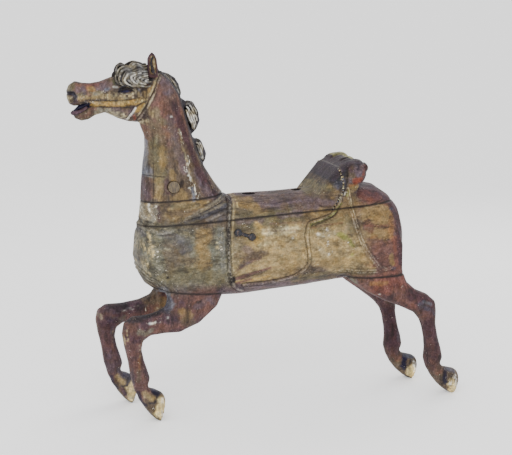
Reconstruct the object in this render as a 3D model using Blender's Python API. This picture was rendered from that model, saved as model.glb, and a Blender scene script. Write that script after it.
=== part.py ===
"""Carved wooden carousel horse in a leap, glued up from blocks.

The horse faces -X with its left side towards -Y, and stands on its four toes.
Its carving is drawn on a grid that follows the height, the length and the
body width. Seams, holes and fittings have real sizes of their own.
"""

import math

import bmesh
import bpy
from mathutils import Vector
from mathutils.bvhtree import BVHTree

# Overall sizes of the figure, in metres
HORSE_HEIGHT = 1.250
HORSE_LENGTH = 1.394
BODY_WIDTH = 0.270

# Grid that the carving is drawn on: this many units make each overall size
GRID_HEIGHT = 1250.0
GRID_LENGTH = 1394.0
GRID_WIDTH = 270.0

# Joints between the blocks, in metres
JOINT_GAP = 0.0003
KEEL_WIDTH = 0.040

# Holes for the pole and for the rear peg, in metres
POLE_HOLE_DIAMETER = 0.046
REAR_SOCKET_DIAMETER = 0.036
REAR_SOCKET_DEPTH = 0.050

# Plugs in the neck, in metres
PLUG_DIAMETER = 0.040
PLUG_LENGTH = 0.040
PLUG_PROUD = 0.002

# Iron hooks on the saddle flaps, in metres
HOOK_SPACING = 0.052
HOOK_KNOB_DIAMETER = 0.027
HOOK_KNOB_HEIGHT = 0.010
HOOK_LET_IN = 0.003
HOOK_BAR_DIAMETER = 0.012
HOOK_SHANK_DIAMETER = 0.008
HOOK_SHANK_LENGTH = 0.030
HOOK_TILT = math.radians(20)

# Room left around a plug, a knob or a shank in its hole, in metres
FITTING_CLEARANCE = 0.0005

# Sides of the figure
LEFT = -1
RIGHT = 1

# Fineness of the carved surface
BODY_SIDES = 24
NECK_SIDES = 18
HEAD_SIDES = 14
LIMB_SIDES = 12
EDGE_SIDES = 6
EAR_SIDES = 8
ROUND_SIDES = 20
KNOB_SIDES = 10
BODY_FINENESS = 0.56
HEAD_FINENESS = 0.56
SLIVER = 0.0001
VOLUME_SLACK = 1e-7

# Squareness of the sections: two is round
BODY_POWER = 2.3
LIMB_POWER = 2.2

# Places of the holes and fittings on the grid, in side view
POLE_HOLE_X = -57
REAR_SOCKET_X = 118
PLUG_PLACE = (-338, 803)
HOOK_PLACE = (-104, 637)
EYE_PLACE = (-491, 1127)
EYE_SIZE = (18, 6, 9)
NOSTRIL_PLACE = (-668, 1122)
NOSTRIL_SIZE = (11, 9, 6)
ROSETTE_PLACE = (-433, 1097)
ROSETTE_SIZE = (13, 7, 13)

# Barrel: lowest and highest point in side view, then the middle y and the half width
BARREL = (
    (-462, 545, -462, 600, 0, 32),
    (-452, 500, -452, 650, 0, 74),
    (-430, 462, -430, 690, 0, 102),
    (-385, 430, -385, 718, 0, 120),
    (-310, 412, -310, 736, 0, 131),
    (-220, 405, -220, 750, 0, 135),
    (-100, 404, -100, 761, 0, 135),
    (30, 414, 30, 761, 0, 135),
    (150, 423, 150, 768, 0, 135),
    (250, 434, 250, 780, 0, 136),
    (330, 440, 330, 790, 0, 134),
    (400, 448, 400, 774, 0, 126),
    (450, 456, 450, 742, 0, 110),
    (486, 470, 486, 700, 0, 86),
    (506, 500, 506, 640, 0, 52),
    (511, 540, 511, 605, 0, 26),
)

# Neck: throat point, crest point, middle y, half width, from the chest up
NECK = (
    (-458, 640, -122, 640, 0, 108),
    (-446, 700, -136, 712, 0, 102),
    (-441, 750, -150, 766, 0, 92),
    (-438, 800, -180, 806, 0, 80),
    (-431, 868, -212, 858, 0, 68),
    (-423, 928, -238, 916, 0, 60),
    (-423, 972, -262, 986, 0, 54),
    (-438, 1012, -280, 1052, 0, 50),
    (-440, 1060, -298, 1112, 0, 46),
    (-425, 1110, -328, 1158, 0, 42),
    (-405, 1150, -358, 1184, 0, 30),
)

# Skull with the upper jaw, from the poll to the upper lip
SKULL = (
    (-352, 1178, -395, 1060, 0, 30),
    (-398, 1192, -436, 1018, 0, 45),
    (-438, 1200, -474, 1022, 0, 53),
    (-484, 1194, -512, 1034, 0, 54),
    (-530, 1175, -546, 1050, 0, 45),
    (-568, 1160, -576, 1062, 0, 38),
    (-602, 1154, -604, 1084, 0, 32),
    (-630, 1156, -634, 1080, 0, 31),
    (-653, 1162, -658, 1079, 0, 32),
    (-673, 1150, -673, 1086, 0, 27),
    (-681, 1132, -680, 1104, 0, 15),
)

# Lower jaw, from inside the head to the lower lip
LOWER_JAW = (
    (-545, 1100, -556, 1054, 0, 30),
    (-598, 1088, -588, 1048, 0, 27),
    (-622, 1074, -612, 1033, 0, 25),
    (-645, 1064, -634, 1029, 0, 23),
    (-662, 1058, -656, 1038, 0, 15),
)

# Legs, from inside the body down: the last value is the share of the right leg's reach
FRONT_LEG = (
    (-402, 520, -160, 520, 70, 48, 0.0),
    (-384, 462, -166, 440, 84, 50, 0.0),
    (-370, 424, -192, 386, 90, 49, 0.1),
    (-378, 396, -258, 332, 94, 44, 0.3),
    (-406, 380, -326, 303, 96, 40, 0.5),
    (-450, 370, -384, 304, 98, 37, 0.8),
    (-496, 369, -432, 299, 100, 36, 1.0),
    (-524, 350, -457, 282, 101, 36, 1.0),
    (-531, 314, -463, 252, 102, 34, 1.0),
    (-525, 270, -456, 214, 103, 29, 1.0),
    (-513, 215, -445, 180, 104, 28, 1.0),
    (-505, 160, -437, 150, 105, 30, 1.0),
    (-492, 112, -445, 124, 106, 26, 1.0),
    (-474, 76, -436, 112, 107, 27, 1.0),
)
FRONT_HOOF = (
    (-480, 82, -436, 114, 107, 26, 1.0),
    (-474, 72, -424, 112, 107, 30, 1.0),
    (-456, 44, -398, 98, 107, 36, 1.0),
    (-434, 16, -389, 86, 107, 39, 1.0),
    (-407, -8, -386, 76, 107, 37, 1.0),
)
REAR_LEG = (
    (300, 640, 480, 640, 66, 58, 0.0),
    (268, 540, 498, 560, 76, 60, 0.0),
    (284, 452, 494, 470, 84, 56, 0.0),
    (345, 402, 510, 424, 88, 52, 0.1),
    (420, 362, 543, 395, 91, 46, 0.35),
    (482, 336, 588, 375, 93, 40, 0.7),
    (536, 310, 617, 348, 95, 37, 1.0),
    (558, 282, 621, 312, 96, 34, 1.0),
    (570, 250, 620, 268, 97, 30, 1.0),
    (578, 212, 630, 217, 98, 28, 1.0),
    (580, 172, 644, 172, 99, 29, 1.0),
    (577, 134, 650, 138, 100, 31, 1.0),
    (588, 100, 641, 116, 101, 27, 1.0),
    (606, 70, 652, 100, 102, 27, 1.0),
)
REAR_HOOF = (
    (600, 78, 646, 102, 102, 26, 1.0),
    (608, 66, 662, 98, 102, 30, 1.0),
    (628, 40, 694, 90, 102, 36, 1.0),
    (656, 14, 708, 80, 102, 39, 1.0),
    (688, -8, 711, 68, 102, 37, 1.0),
)
RIGHT_FRONT_REACH = -57
RIGHT_REAR_REACH = -78

# Ear and the hollow carved in it, from the root up
EAR = (
    (-407, 1166, -374, 1166, 27, 12),
    (-408, 1192, -375, 1192, 33, 13),
    (-413, 1216, -378, 1216, 38, 12),
    (-411, 1236, -384, 1234, 41, 8),
    (-400, 1250, -394, 1249, 41, 2),
)
EAR_HOLLOW = (
    (-403, 1184, -384, 1184, 48, 9),
    (-406, 1206, -383, 1206, 53, 12),
    (-405, 1226, -387, 1226, 52, 9),
    (-400, 1238, -393, 1238, 48, 4),
)
RIGHT_EAR_SWING = 17

# Carved edges over the body in side view, and those that run across it to both sides
SADDLE_FRONT = (
    (-138, 780), (-142, 742), (-154, 692), (-163, 613), (-158, 523), (-144, 468), (-108, 436),
)
SADDLE_STRAP = (
    (262, 800), (258, 774), (238, 728), (206, 690), (150, 670), (120, 640),
    (121, 586), (128, 540), (116, 500), (60, 468), (-20, 452), (-120, 448),
)
BLANKET_REAR = (
    (281, 800), (279, 770), (287, 703), (303, 640), (334, 572), (388, 508), (436, 486),
)
BLANKET_HEM = ((446, 478), (384, 477), (320, 474), (256, 474))
CHEST_HEM = ((-461, 606), (-457, 556), (-450, 522), (-434, 500), (-405, 478), (-380, 464))
COLLAR = ((-448, 668), (-425, 656), (-380, 650), (-320, 652), (-250, 664))
SHOULDER_FOLDS = (
    ((-158, 748), (-210, 722), (-262, 702), (-318, 692)),
    ((-160, 732), (-200, 710), (-240, 696), (-278, 688)),
    ((-162, 716), (-190, 702), (-218, 692), (-236, 688)),
)
GIRDLES = (
    (SADDLE_FRONT, 8, 6),
    (SADDLE_STRAP, 10, 7),
    (BLANKET_REAR, 8, 4),
    (CHEST_HEM, 7, 4),
    (COLLAR, 9, 5),
)
HEM_HALF_WIDTH = 7
HEM_HEIGHT = 4
FOLD_HALF_WIDTH = 6
FOLD_HEIGHT = 4

# Straps of the bridle, in side view
CHEEK_STRAP = ((-608, 1096), (-590, 1091), (-530, 1089), (-480, 1092), (-440, 1097))
HEADSTALL = ((-384, 1160), (-392, 1124), (-402, 1094), (-418, 1057), (-438, 1028))
STRAP_HALF_WIDTH = 6
STRAP_HEIGHT = 4

# Seams in side view, each from one point to another
NECK_SEAM = ((-800, 730), (-140, 766))
BODY_SEAM = ((-800, 650), (800, 738))
FRONT_LEG_SEAM = ((-700, 477), (-163, 431))
REAR_LEG_SEAM = ((252, 457), (760, 457))

# Mane: tufts from z to z with their bulge past the crest, and locks down the right side
MANE_TUFTS = ((1189, 1104, 14), (1090, 970, 42), (955, 866, 24))
TUFT_STRANDS = 2
TUFT_STEP = 22
TUFT_SIZE = (14, 13)
SIDE_LOCK_COUNT = 6
SIDE_LOCK_TOP = 1165
SIDE_LOCK_STEP = 52
SIDE_LOCK_LENGTH = 120
SIDE_LOCK_SWEEP = 40
SIDE_LOCK_SIZE = (19, 13)
LOCK_STEPS = 5

# Forelock: the mass over the brow, and the first of its curled locks
FORELOCK = (
    (-392, 1210, -392, 1170, 0, 24),
    (-430, 1216, -430, 1160, 0, 42),
    (-464, 1214, -464, 1160, 0, 46),
    (-496, 1206, -496, 1160, 0, 40),
    (-513, 1191, -513, 1160, 0, 26),
)
BROW_LOCK = (
    (-404, 10, 1208), (-432, 28, 1214), (-462, 44, 1200), (-470, 52, 1178), (-458, 54, 1158), (-446, 50, 1150),
)
BROW_LOCK_COUNTS = {LEFT: 5, RIGHT: 4}
BROW_LOCK_STEP = 11
BROW_LOCK_SIZE = (11, 8)

# Looks of the worn wood, the plugs and the iron: colour, roughness and metal
WOOD_LOOK = ((0.22, 0.15, 0.09), 0.7, 0.0)
PLUG_LOOK = ((0.26, 0.19, 0.12), 0.7, 0.0)
IRON_LOOK = ((0.03, 0.03, 0.04), 0.5, 0.8)
SHARP_ANGLE = math.radians(40)

# Cantle: side view of its rising seat and hollow back, and the lobes of its rim
CANTLE_PROFILE = (
    (148, 742), (176, 776), (206, 812), (236, 848), (268, 866), (302, 870),
    (324, 848), (326, 806), (312, 760), (300, 710), (170, 710),
)
CANTLE_CENTRE = (236, 780)
CANTLE_SECTIONS = ((-127, 0.62), (-120, 0.88), (-100, 0.98), (0, 1.0), (100, 0.98), (120, 0.88), (127, 0.62))
LOBE_COUNT = 3
LOBE_SPACING = 84
LOBE_CENTRE = (312, 828)
LOBE_SIZE = (37, 46, 44)


def spot(x, y, z):
    """Point of the figure from its place on the carving grid."""
    return Vector((
        x * HORSE_LENGTH / GRID_LENGTH,
        y * BODY_WIDTH / GRID_WIDTH,
        z * HORSE_HEIGHT / GRID_HEIGHT,
    ))


def squared(value, power):
    """Sine or cosine pressed outwards, so that a round becomes squarer."""
    return math.copysign(abs(value) ** (2.0 / power), value)


def ring(centre, across, out, sides, power=2.0):
    """Points of one closed section around a centre."""
    angles = [2 * math.pi * index / sides for index in range(sides)]
    return [
        centre + across * squared(math.cos(angle), power) + out * squared(math.sin(angle), power)
        for angle in angles
    ]


def link(name, builder):
    """Object from a filled bmesh, with its faces pointing out."""
    bmesh.ops.recalc_face_normals(builder, faces=builder.faces)
    mesh = bpy.data.meshes.new(name)
    builder.to_mesh(mesh)
    builder.free()
    made = bpy.data.objects.new(name, mesh)
    bpy.context.scene.collection.objects.link(made)
    return made


def loft(name, rings):
    """Closed skin over a row of sections."""
    builder = bmesh.new()
    rows = [[builder.verts.new(point) for point in section] for section in rings]
    for near, far in zip(rows, rows[1:]):
        for index in range(len(near)):
            after = (index + 1) % len(near)
            builder.faces.new((near[index], near[after], far[after], far[index]))
    builder.faces.new(rows[0])
    builder.faces.new(rows[-1])
    return link(name, builder)


def limb(name, rows, sides, power=LIMB_POWER, side=LEFT, reach=0):
    """Round form whose rows give its front, its back, its middle y and its half width."""
    rings = []
    for row in rows:
        shift = reach * row[6] if len(row) > 6 else reach
        front = spot(row[0] + shift, side * row[4], row[1])
        back = spot(row[2] + shift, side * row[4], row[3])
        rings.append(ring((front + back) / 2, (front - back) / 2, spot(0, row[5], 0), sides, power))
    return loft(name, rings)


def prism(name, outline, y_low, y_high):
    """Straight prism across the horse over an outline in side view, in metres."""
    builder = bmesh.new()
    face = builder.faces.new([builder.verts.new((x, y_low, z)) for x, z in outline])
    grown = bmesh.ops.extrude_face_region(builder, geom=[face])
    moved = [item for item in grown["geom"] if isinstance(item, bmesh.types.BMVert)]
    bmesh.ops.translate(builder, verts=moved, vec=(0, y_high - y_low, 0))
    return link(name, builder)


def rod(name, radius, start, end, sides=ROUND_SIDES):
    """Straight round bar or hole between two points."""
    axis = end - start
    builder = bmesh.new()
    bmesh.ops.create_cone(
        builder, cap_ends=True, segments=sides, radius1=radius, radius2=radius, depth=axis.length,
    )
    turn = axis.to_track_quat("Z", "Y").to_matrix()
    bmesh.ops.rotate(builder, verts=builder.verts, matrix=turn)
    bmesh.ops.translate(builder, verts=builder.verts, vec=(start + end) / 2)
    return link(name, builder)


def lump(name, centre, half_sizes, sides):
    """Rounded lump with its own half size along each axis."""
    builder = bmesh.new()
    bmesh.ops.create_uvsphere(builder, u_segments=sides, v_segments=sides // 2 + 1, radius=1.0)
    bmesh.ops.scale(builder, verts=builder.verts, vec=half_sizes)
    bmesh.ops.translate(builder, verts=builder.verts, vec=centre)
    return link(name, builder)


def apply_modifiers(piece):
    """Keep the shape that an object's modifiers make as its own mesh."""
    bpy.context.view_layer.update()
    shape = piece.evaluated_get(bpy.context.evaluated_depsgraph_get())
    mesh = bpy.data.meshes.new_from_object(shape)
    piece.modifiers.clear()
    piece.data = mesh


def measured(piece):
    """Volume inside a skin, and whether the skin is closed."""
    builder = bmesh.new()
    builder.from_mesh(piece.data)
    volume = builder.calc_volume()
    closed = all(edge.is_manifold for edge in builder.edges)
    builder.free()
    return volume, closed


def boolean(target, tool, operation):
    """Join, cut or overlap two solids, and keep the result as the first one's mesh.

    The exact solver goes first, and the manifold one takes over where that loses
    material or leaves the skin open.
    """
    whole = target.data
    first, _ = measured(target)
    second, _ = measured(tool)
    least, most = {
        "UNION": (max(first, second), first + second),
        "DIFFERENCE": (first - second, first),
        "INTERSECT": (0.0, min(first, second)),
    }[operation]
    for solver in ("EXACT", "MANIFOLD"):
        target.data = whole
        modifier = target.modifiers.new(operation.title(), "BOOLEAN")
        modifier.operation = operation
        modifier.solver = solver
        modifier.object = tool
        apply_modifiers(target)
        volume, closed = measured(target)
        if closed and least - VOLUME_SLACK < volume < most + VOLUME_SLACK:
            break
    bpy.data.objects.remove(tool)


def joined(name, pieces):
    """One solid from several overlapping ones, which are used up."""
    whole = pieces[0]
    whole.name = name
    for piece in pieces[1:]:
        boolean(whole, piece, "UNION")
    return whole


def thinned(piece, share):
    """Clear a carved solid of slivers and keep a share of its facets, smallest out first."""
    builder = bmesh.new()
    builder.from_mesh(piece.data)
    bmesh.ops.remove_doubles(builder, verts=builder.verts, dist=SLIVER)
    bmesh.ops.triangulate(builder, faces=builder.faces)
    same_corners = {}
    for face in builder.faces:
        same_corners.setdefault(frozenset(face.verts), []).append(face)
    flaps = [face for faces in same_corners.values() if len(faces) > 1 for face in faces]
    bmesh.ops.delete(builder, geom=flaps, context="FACES")
    builder.to_mesh(piece.data)
    builder.free()
    cleaned = piece.data
    modifier = piece.modifiers.new("Thin", "DECIMATE")
    modifier.ratio = share
    apply_modifiers(piece)
    _, closed = measured(piece)
    if not closed:
        piece.data = cleaned


def copy_of(source, name):
    """Separate copy of an object with its own mesh."""
    made = bpy.data.objects.new(name, source.data.copy())
    bpy.context.scene.collection.objects.link(made)
    return made


def surface_of(pieces):
    """Search tree over the skins of several solids."""
    verts = []
    faces = []
    for piece in pieces:
        start = len(verts)
        verts.extend(vertex.co for vertex in piece.data.vertices)
        faces.extend([start + index for index in face.vertices] for face in piece.data.polygons)
    return BVHTree.FromPolygons(verts, faces)


def from_side(tree, place, side):
    """Outermost point of a skin at a place in side view, with the way it faces."""
    x, z = place
    start = spot(x, side * GRID_WIDTH, z)
    point, normal, _, _ = tree.ray_cast(start, Vector((0, -side, 0)))
    return point, normal


def on_body(tree, place, side):
    """Point of the body's skin beside a place in side view, up to the middle of the back."""
    x, z = place
    rows = [row for row in zip(BARREL, BARREL[1:]) if row[0][0] <= x <= row[1][0]][0]
    share = (x - rows[0][0]) / (rows[1][0] - rows[0][0])
    _, low, _, high, _, half_width = (a + share * (b - a) for a, b in zip(*rows))
    rise = min(abs(2 * z - low - high) / (high - low), 1.0)
    across = half_width * (1 - rise ** BODY_POWER) ** (1 / BODY_POWER)
    point, normal, _, _ = tree.find_nearest(spot(x, side * across, z))
    return point, normal


def raised_edge(name, touches, half_width, height):
    """Rounded band that follows points on a skin, each with the way the skin faces there."""
    rings = []
    last = len(touches) - 1
    for index, (point, normal) in enumerate(touches):
        forward = touches[min(index + 1, last)][0] - touches[max(index - 1, 0)][0]
        across = forward.cross(normal).normalized()
        out = across.cross(forward).normalized()
        rings.append(ring(point, spot(*across) * half_width, spot(*out) * height, EDGE_SIDES))
    return loft(name, rings)


def lock(name, path, wide, thick):
    """Lock of hair that swells and tapers along a path of points on the grid."""
    points = [Vector(point) for point in path]
    last = len(points) - 1
    rings = []
    for index, point in enumerate(points):
        forward = points[min(index + 1, last)] - points[max(index - 1, 0)]
        flat = Vector((-forward.z, 0, forward.x)).normalized()
        swell = 0.4 + 0.6 * math.sin(math.pi * (0.2 + 0.75 * index / last))
        across = flat * wide * swell
        rings.append(ring(spot(*point), spot(*across), spot(0, thick * swell, 0), EDGE_SIDES))
    return loft(name, rings)


def neck_at(z):
    """Crest x and half width of the neck at a height."""
    for low, high in zip(NECK, NECK[1:]):
        if low[3] <= z <= high[3]:
            share = (z - low[3]) / (high[3] - low[3])
            return tuple(low[column] + share * (high[column] - low[column]) for column in (2, 5))
    return NECK[-1][2], NECK[-1][5]


def mane():
    """Tufts that stand past the crest, and locks that hang on the right of the neck."""
    locks = []
    for tuft, (top, bottom, bulge) in enumerate(MANE_TUFTS):
        for strand in range(TUFT_STRANDS):
            path = []
            for step in range(LOCK_STEPS + 1):
                share = step / LOCK_STEPS
                z = top + share * (bottom - top)
                crest, _ = neck_at(z)
                sweep = math.sin(math.pi * share) * bulge * (1 - strand / 3)
                path.append((crest - TUFT_SIZE[0] / 2 + sweep, TUFT_STEP * (strand + 0.5), z))
            locks.append(lock(f"tuft_{tuft}_{strand}", path, *TUFT_SIZE))
    for number in range(SIDE_LOCK_COUNT):
        top = SIDE_LOCK_TOP - number * SIDE_LOCK_STEP
        path = []
        for step in range(LOCK_STEPS + 1):
            share = step / LOCK_STEPS
            z = top - SIDE_LOCK_LENGTH * share
            crest, half_width = neck_at(z)
            sweep = SIDE_LOCK_SWEEP * math.sin(math.pi * share)
            path.append((crest - SIDE_LOCK_SIZE[1] - sweep, half_width * (1 + 2 * share) / 3, z))
        locks.append(lock(f"side_lock_{number}", path, *SIDE_LOCK_SIZE))
    return locks


def forelock():
    """Mass of hair over the forehead with curled locks down to the brow."""
    locks = [limb("forelock_mass", FORELOCK, LIMB_SIDES)]
    for side in (LEFT, RIGHT):
        for number in range(BROW_LOCK_COUNTS[side]):
            forward = number * BROW_LOCK_STEP
            path = [(x - forward, side * y, z) for x, y, z in BROW_LOCK]
            locks.append(lock(f"brow_lock_{side}_{number}", path, *BROW_LOCK_SIZE))
    return locks


def head_and_neck(neck):
    """Block above the neck seam, with its carving."""
    pieces = [
        copy_of(neck, "neck_top"),
        limb("skull", SKULL, HEAD_SIDES),
        limb("lower_jaw", LOWER_JAW, HEAD_SIDES),
    ]
    tree = surface_of(pieces)
    for side in (LEFT, RIGHT):
        swing = RIGHT_EAR_SWING if side == RIGHT else 0
        ear = limb(f"ear_{side}", EAR, EAR_SIDES, 2.0, side, swing)
        boolean(ear, limb("ear_hollow", EAR_HOLLOW, EAR_SIDES, 2.0, side, swing), "DIFFERENCE")
        pieces.append(ear)
        for strap in (CHEEK_STRAP, HEADSTALL):
            touches = [from_side(tree, place, side) for place in strap]
            pieces.append(raised_edge("strap", touches, STRAP_HALF_WIDTH, STRAP_HEIGHT))
        rosette, _ = from_side(tree, ROSETTE_PLACE, side)
        pieces.append(lump("rosette", rosette, spot(*ROSETTE_SIZE), KNOB_SIDES))
        eye, _ = from_side(tree, EYE_PLACE, side)
        pieces.append(lump("eye", eye, spot(*EYE_SIZE), KNOB_SIDES))
    whole = joined("head_and_neck", pieces + forelock() + mane())
    for side in (LEFT, RIGHT):
        nostril, _ = from_side(tree, NOSTRIL_PLACE, side)
        boolean(whole, lump("nostril", nostril, spot(*NOSTRIL_SIZE), KNOB_SIDES), "DIFFERENCE")
    thinned(whole, HEAD_FINENESS)
    return whole


def cantle():
    """Raised back of the saddle with a rim of rounded lobes."""
    middle_x, middle_z = CANTLE_CENTRE
    rings = []
    for y, share in CANTLE_SECTIONS:
        rings.append([
            spot(middle_x + share * (x - middle_x), y, middle_z + share * (z - middle_z))
            for x, z in CANTLE_PROFILE
        ])
    pieces = [loft("cantle", rings)]
    for number in range(LOBE_COUNT):
        y = (number - (LOBE_COUNT - 1) / 2) * LOBE_SPACING
        centre = spot(LOBE_CENTRE[0], y, LOBE_CENTRE[1])
        pieces.append(lump(f"lobe_{number}", centre, spot(*LOBE_SIZE), LIMB_SIDES))
    return pieces


def hook(name, tree, side, grow=0.0):
    """Iron hook with two turned knobs, a bar and two shanks, or the hole for it when it is grown."""
    face, _ = from_side(tree, HOOK_PLACE, side)
    outward = Vector((0, side, 0))
    middle = face + outward * HOOK_BAR_DIAMETER / 4
    half_bar = Vector((math.cos(HOOK_TILT), 0, -math.sin(HOOK_TILT))) * HOOK_SPACING / 2
    pieces = [rod("bar", HOOK_BAR_DIAMETER / 2 + grow, middle - half_bar, middle + half_bar, KNOB_SIDES)]
    for centre in (face - half_bar, face + half_bar):
        rings = []
        for depth, radius in (
            (-HOOK_SHANK_LENGTH - grow, HOOK_SHANK_DIAMETER / 2),
            (-HOOK_LET_IN - grow, HOOK_SHANK_DIAMETER / 2),
            (-HOOK_LET_IN - grow, HOOK_KNOB_DIAMETER / 2),
            (HOOK_KNOB_HEIGHT * 0.5, HOOK_KNOB_DIAMETER / 2),
            (HOOK_KNOB_HEIGHT, HOOK_KNOB_DIAMETER / 4),
        ):
            across = Vector((radius + grow, 0, 0))
            up = Vector((0, 0, radius + grow))
            rings.append(ring(centre + outward * depth, across, up, KNOB_SIDES))
        pieces.append(loft("knob", rings))
    return joined(name, pieces)


def plug(name, tree, side, proud, grow=0.0):
    """Round plug in the neck that stands proud of it, or the hole for it when it is grown."""
    face, _ = from_side(tree, PLUG_PLACE, side)
    outward = Vector((0, side, 0))
    outer = face + outward * proud
    inner = face - outward * (PLUG_LENGTH + grow)
    return rod(name, PLUG_DIAMETER / 2 + grow, inner, outer)


def leg(label, side, rows, hoof_rows, reach):
    """Leg with its hoof, up into the body, before it is parted from the barrel."""
    upper = limb(f"{label}_upper", rows, LIMB_SIDES, LIMB_POWER, side, reach)
    hoof = limb(f"{label}_hoof", hoof_rows, LIMB_SIDES, LIMB_POWER, side, reach)
    return joined(label, [upper, hoof])


def room_above(seam, grow):
    """Everything above a seam and to the left of its right end, let out by a little."""
    (x0, z0), (x1, z1) = [(spot(x, 0, z).x, spot(x, 0, z).z) for x, z in seam]
    outline = [
        (x0, z0 - grow), (x1 + grow, z1 - grow), (x1 + grow, 2 * HORSE_HEIGHT), (x0, 2 * HORSE_HEIGHT),
    ]
    return prism("room_above", outline, -HORSE_LENGTH, HORSE_LENGTH)


def leg_room(seam, side, floor, grow):
    """Room of a leg block: under its seam, beside the keel and above a floor."""
    (x0, z0), (x1, z1) = [(spot(x, 0, z).x, spot(x, 0, z).z) for x, z in seam]
    outline = [(x0 - grow, floor), (x1 + grow, floor), (x1 + grow, z1 + grow), (x0 - grow, z0 + grow)]
    inner = side * (KEEL_WIDTH / 2 - grow)
    outer = side * HORSE_LENGTH
    return prism("leg_room", outline, min(inner, outer), max(inner, outer))


def carved_body(body, neck):
    """Body and neck in one, with the edges of saddle and blankets and the shoulder folds."""
    pieces = [copy_of(body, "carved_body"), copy_of(neck, "neck_root")]
    tree = surface_of(pieces)
    for line, half_width, height in GIRDLES:
        left = [on_body(tree, place, LEFT) for place in line]
        right = [on_body(tree, place, RIGHT) for place in line]
        pieces.append(raised_edge("girdle", left[:0:-1] + right, half_width, height))
    for side in (LEFT, RIGHT):
        hem = [on_body(tree, place, side) for place in BLANKET_HEM]
        pieces.append(raised_edge("hem", hem, HEM_HALF_WIDTH, HEM_HEIGHT))
        for line in SHOULDER_FOLDS:
            fold = [on_body(tree, place, side) for place in line]
            pieces.append(raised_edge("fold", fold, FOLD_HALF_WIDTH, FOLD_HEIGHT))
    form = joined("carved_body", pieces)
    thinned(form, BODY_FINENESS)
    return form


def pole_hole(depth_below, x, diameter):
    """Upright hole that opens on top of the seat and goes down by a depth."""
    top = spot(x, 0, GRID_HEIGHT)
    bottom = Vector((top.x, 0, depth_below))
    return rod("hole", diameter / 2, bottom, top)


def finish(piece, colour, roughness, metallic, collection):
    """Give a piece its material and its place in the horse's collection."""
    surface = bpy.data.materials.new(piece.name)
    surface.use_nodes = True
    shader = surface.node_tree.nodes["Principled BSDF"]
    shader.inputs["Base Color"].default_value = (*colour, 1.0)
    shader.inputs["Roughness"].default_value = roughness
    shader.inputs["Metallic"].default_value = metallic
    piece.data.materials.clear()
    piece.data.materials.append(surface)
    piece.data.name = piece.name
    piece.data.shade_smooth()
    piece.data.set_sharp_from_angle(angle=SHARP_ANGLE)
    bpy.context.scene.collection.objects.unlink(piece)
    collection.objects.link(piece)


def centre_on_floor(pieces):
    """Move the horse so that the origin lies on the floor under the middle of its box."""
    corners = [vertex.co for piece in pieces for vertex in piece.data.vertices]
    middle = [
        (min(corner[axis] for corner in corners) + max(corner[axis] for corner in corners)) / 2
        for axis in range(2)
    ]
    for piece in pieces:
        piece.location = (-middle[0], -middle[1], 0)


def main():
    """Clear the scene and build the horse."""
    for item in list(bpy.data.objects):
        bpy.data.objects.remove(item)
    slack = JOINT_GAP / 2
    body = limb("body", BARREL, BODY_SIDES, BODY_POWER)
    neck = limb("neck", NECK, NECK_SIDES)
    tree = surface_of([body, neck])
    form = carved_body(body, neck)

    head = head_and_neck(neck)
    boolean(head, room_above(NECK_SEAM, -slack), "INTERSECT")

    back = joined("back_and_saddle", [copy_of(form, "back_and_saddle"), *cantle()])
    boolean(back, room_above(NECK_SEAM, slack), "DIFFERENCE")
    boolean(back, room_above(BODY_SEAM, -slack), "INTERSECT")
    seat = spot(REAR_SOCKET_X, 0, 0)
    seat_top, _, _, _ = tree.ray_cast(seat + Vector((0, 0, HORSE_HEIGHT)), Vector((0, 0, -1)))
    boolean(back, pole_hole(seat_top.z - REAR_SOCKET_DEPTH, REAR_SOCKET_X, REAR_SOCKET_DIAMETER), "DIFFERENCE")

    barrel = copy_of(form, "barrel")
    legs = []
    for side, word, front_reach, rear_reach in (
        (LEFT, "left", 0, 0),
        (RIGHT, "right", RIGHT_FRONT_REACH, RIGHT_REAR_REACH),
    ):
        for label, rows, hoof_rows, reach, seam in (
            (f"front_{word}_leg", FRONT_LEG, FRONT_HOOF, front_reach, FRONT_LEG_SEAM),
            (f"rear_{word}_leg", REAR_LEG, REAR_HOOF, rear_reach, REAR_LEG_SEAM),
        ):
            made = leg(label, side, rows, hoof_rows, reach)
            boolean(barrel, copy_of(made, "thigh"), "UNION")
            underside = copy_of(form, "underside")
            for block in (made, underside):
                boolean(block, leg_room(seam, side, 0.0, -slack), "INTERSECT")
            boolean(made, underside, "UNION")
            legs.append(made)
    boolean(barrel, room_above(BODY_SEAM, slack), "DIFFERENCE")
    for side in (LEFT, RIGHT):
        for seam in (FRONT_LEG_SEAM, REAR_LEG_SEAM):
            boolean(barrel, leg_room(seam, side, -HORSE_HEIGHT, slack), "DIFFERENCE")
    for block in (back, barrel):
        boolean(block, pole_hole(0, POLE_HOLE_X, POLE_HOLE_DIAMETER), "DIFFERENCE")

    hooks = []
    plugs = []
    for side, word in ((LEFT, "left"), (RIGHT, "right")):
        boolean(barrel, hook("hook_seat", tree, side, FITTING_CLEARANCE), "DIFFERENCE")
        boolean(head, plug("plug_hole", tree, side, PLUG_DIAMETER, FITTING_CLEARANCE), "DIFFERENCE")
        hooks.append(hook(f"iron_hook_{word}", tree, side))
        plugs.append(plug(f"neck_plug_{word}", tree, side, PLUG_PROUD))

    for leftover in (form, body, neck):
        bpy.data.objects.remove(leftover)
    horse = bpy.data.collections.new("carousel_horse")
    bpy.context.scene.collection.children.link(horse)
    blocks = [head, back, barrel, *legs]
    for pieces, look in ((blocks, WOOD_LOOK), (plugs, PLUG_LOOK), (hooks, IRON_LOOK)):
        for piece in pieces:
            finish(piece, *look, horse)
    centre_on_floor(blocks + plugs + hooks)


if __name__ == "__main__":
    main()
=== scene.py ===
"""Old carousel horse: its carved blocks, curled hair, fittings and worn paint."""

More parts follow.
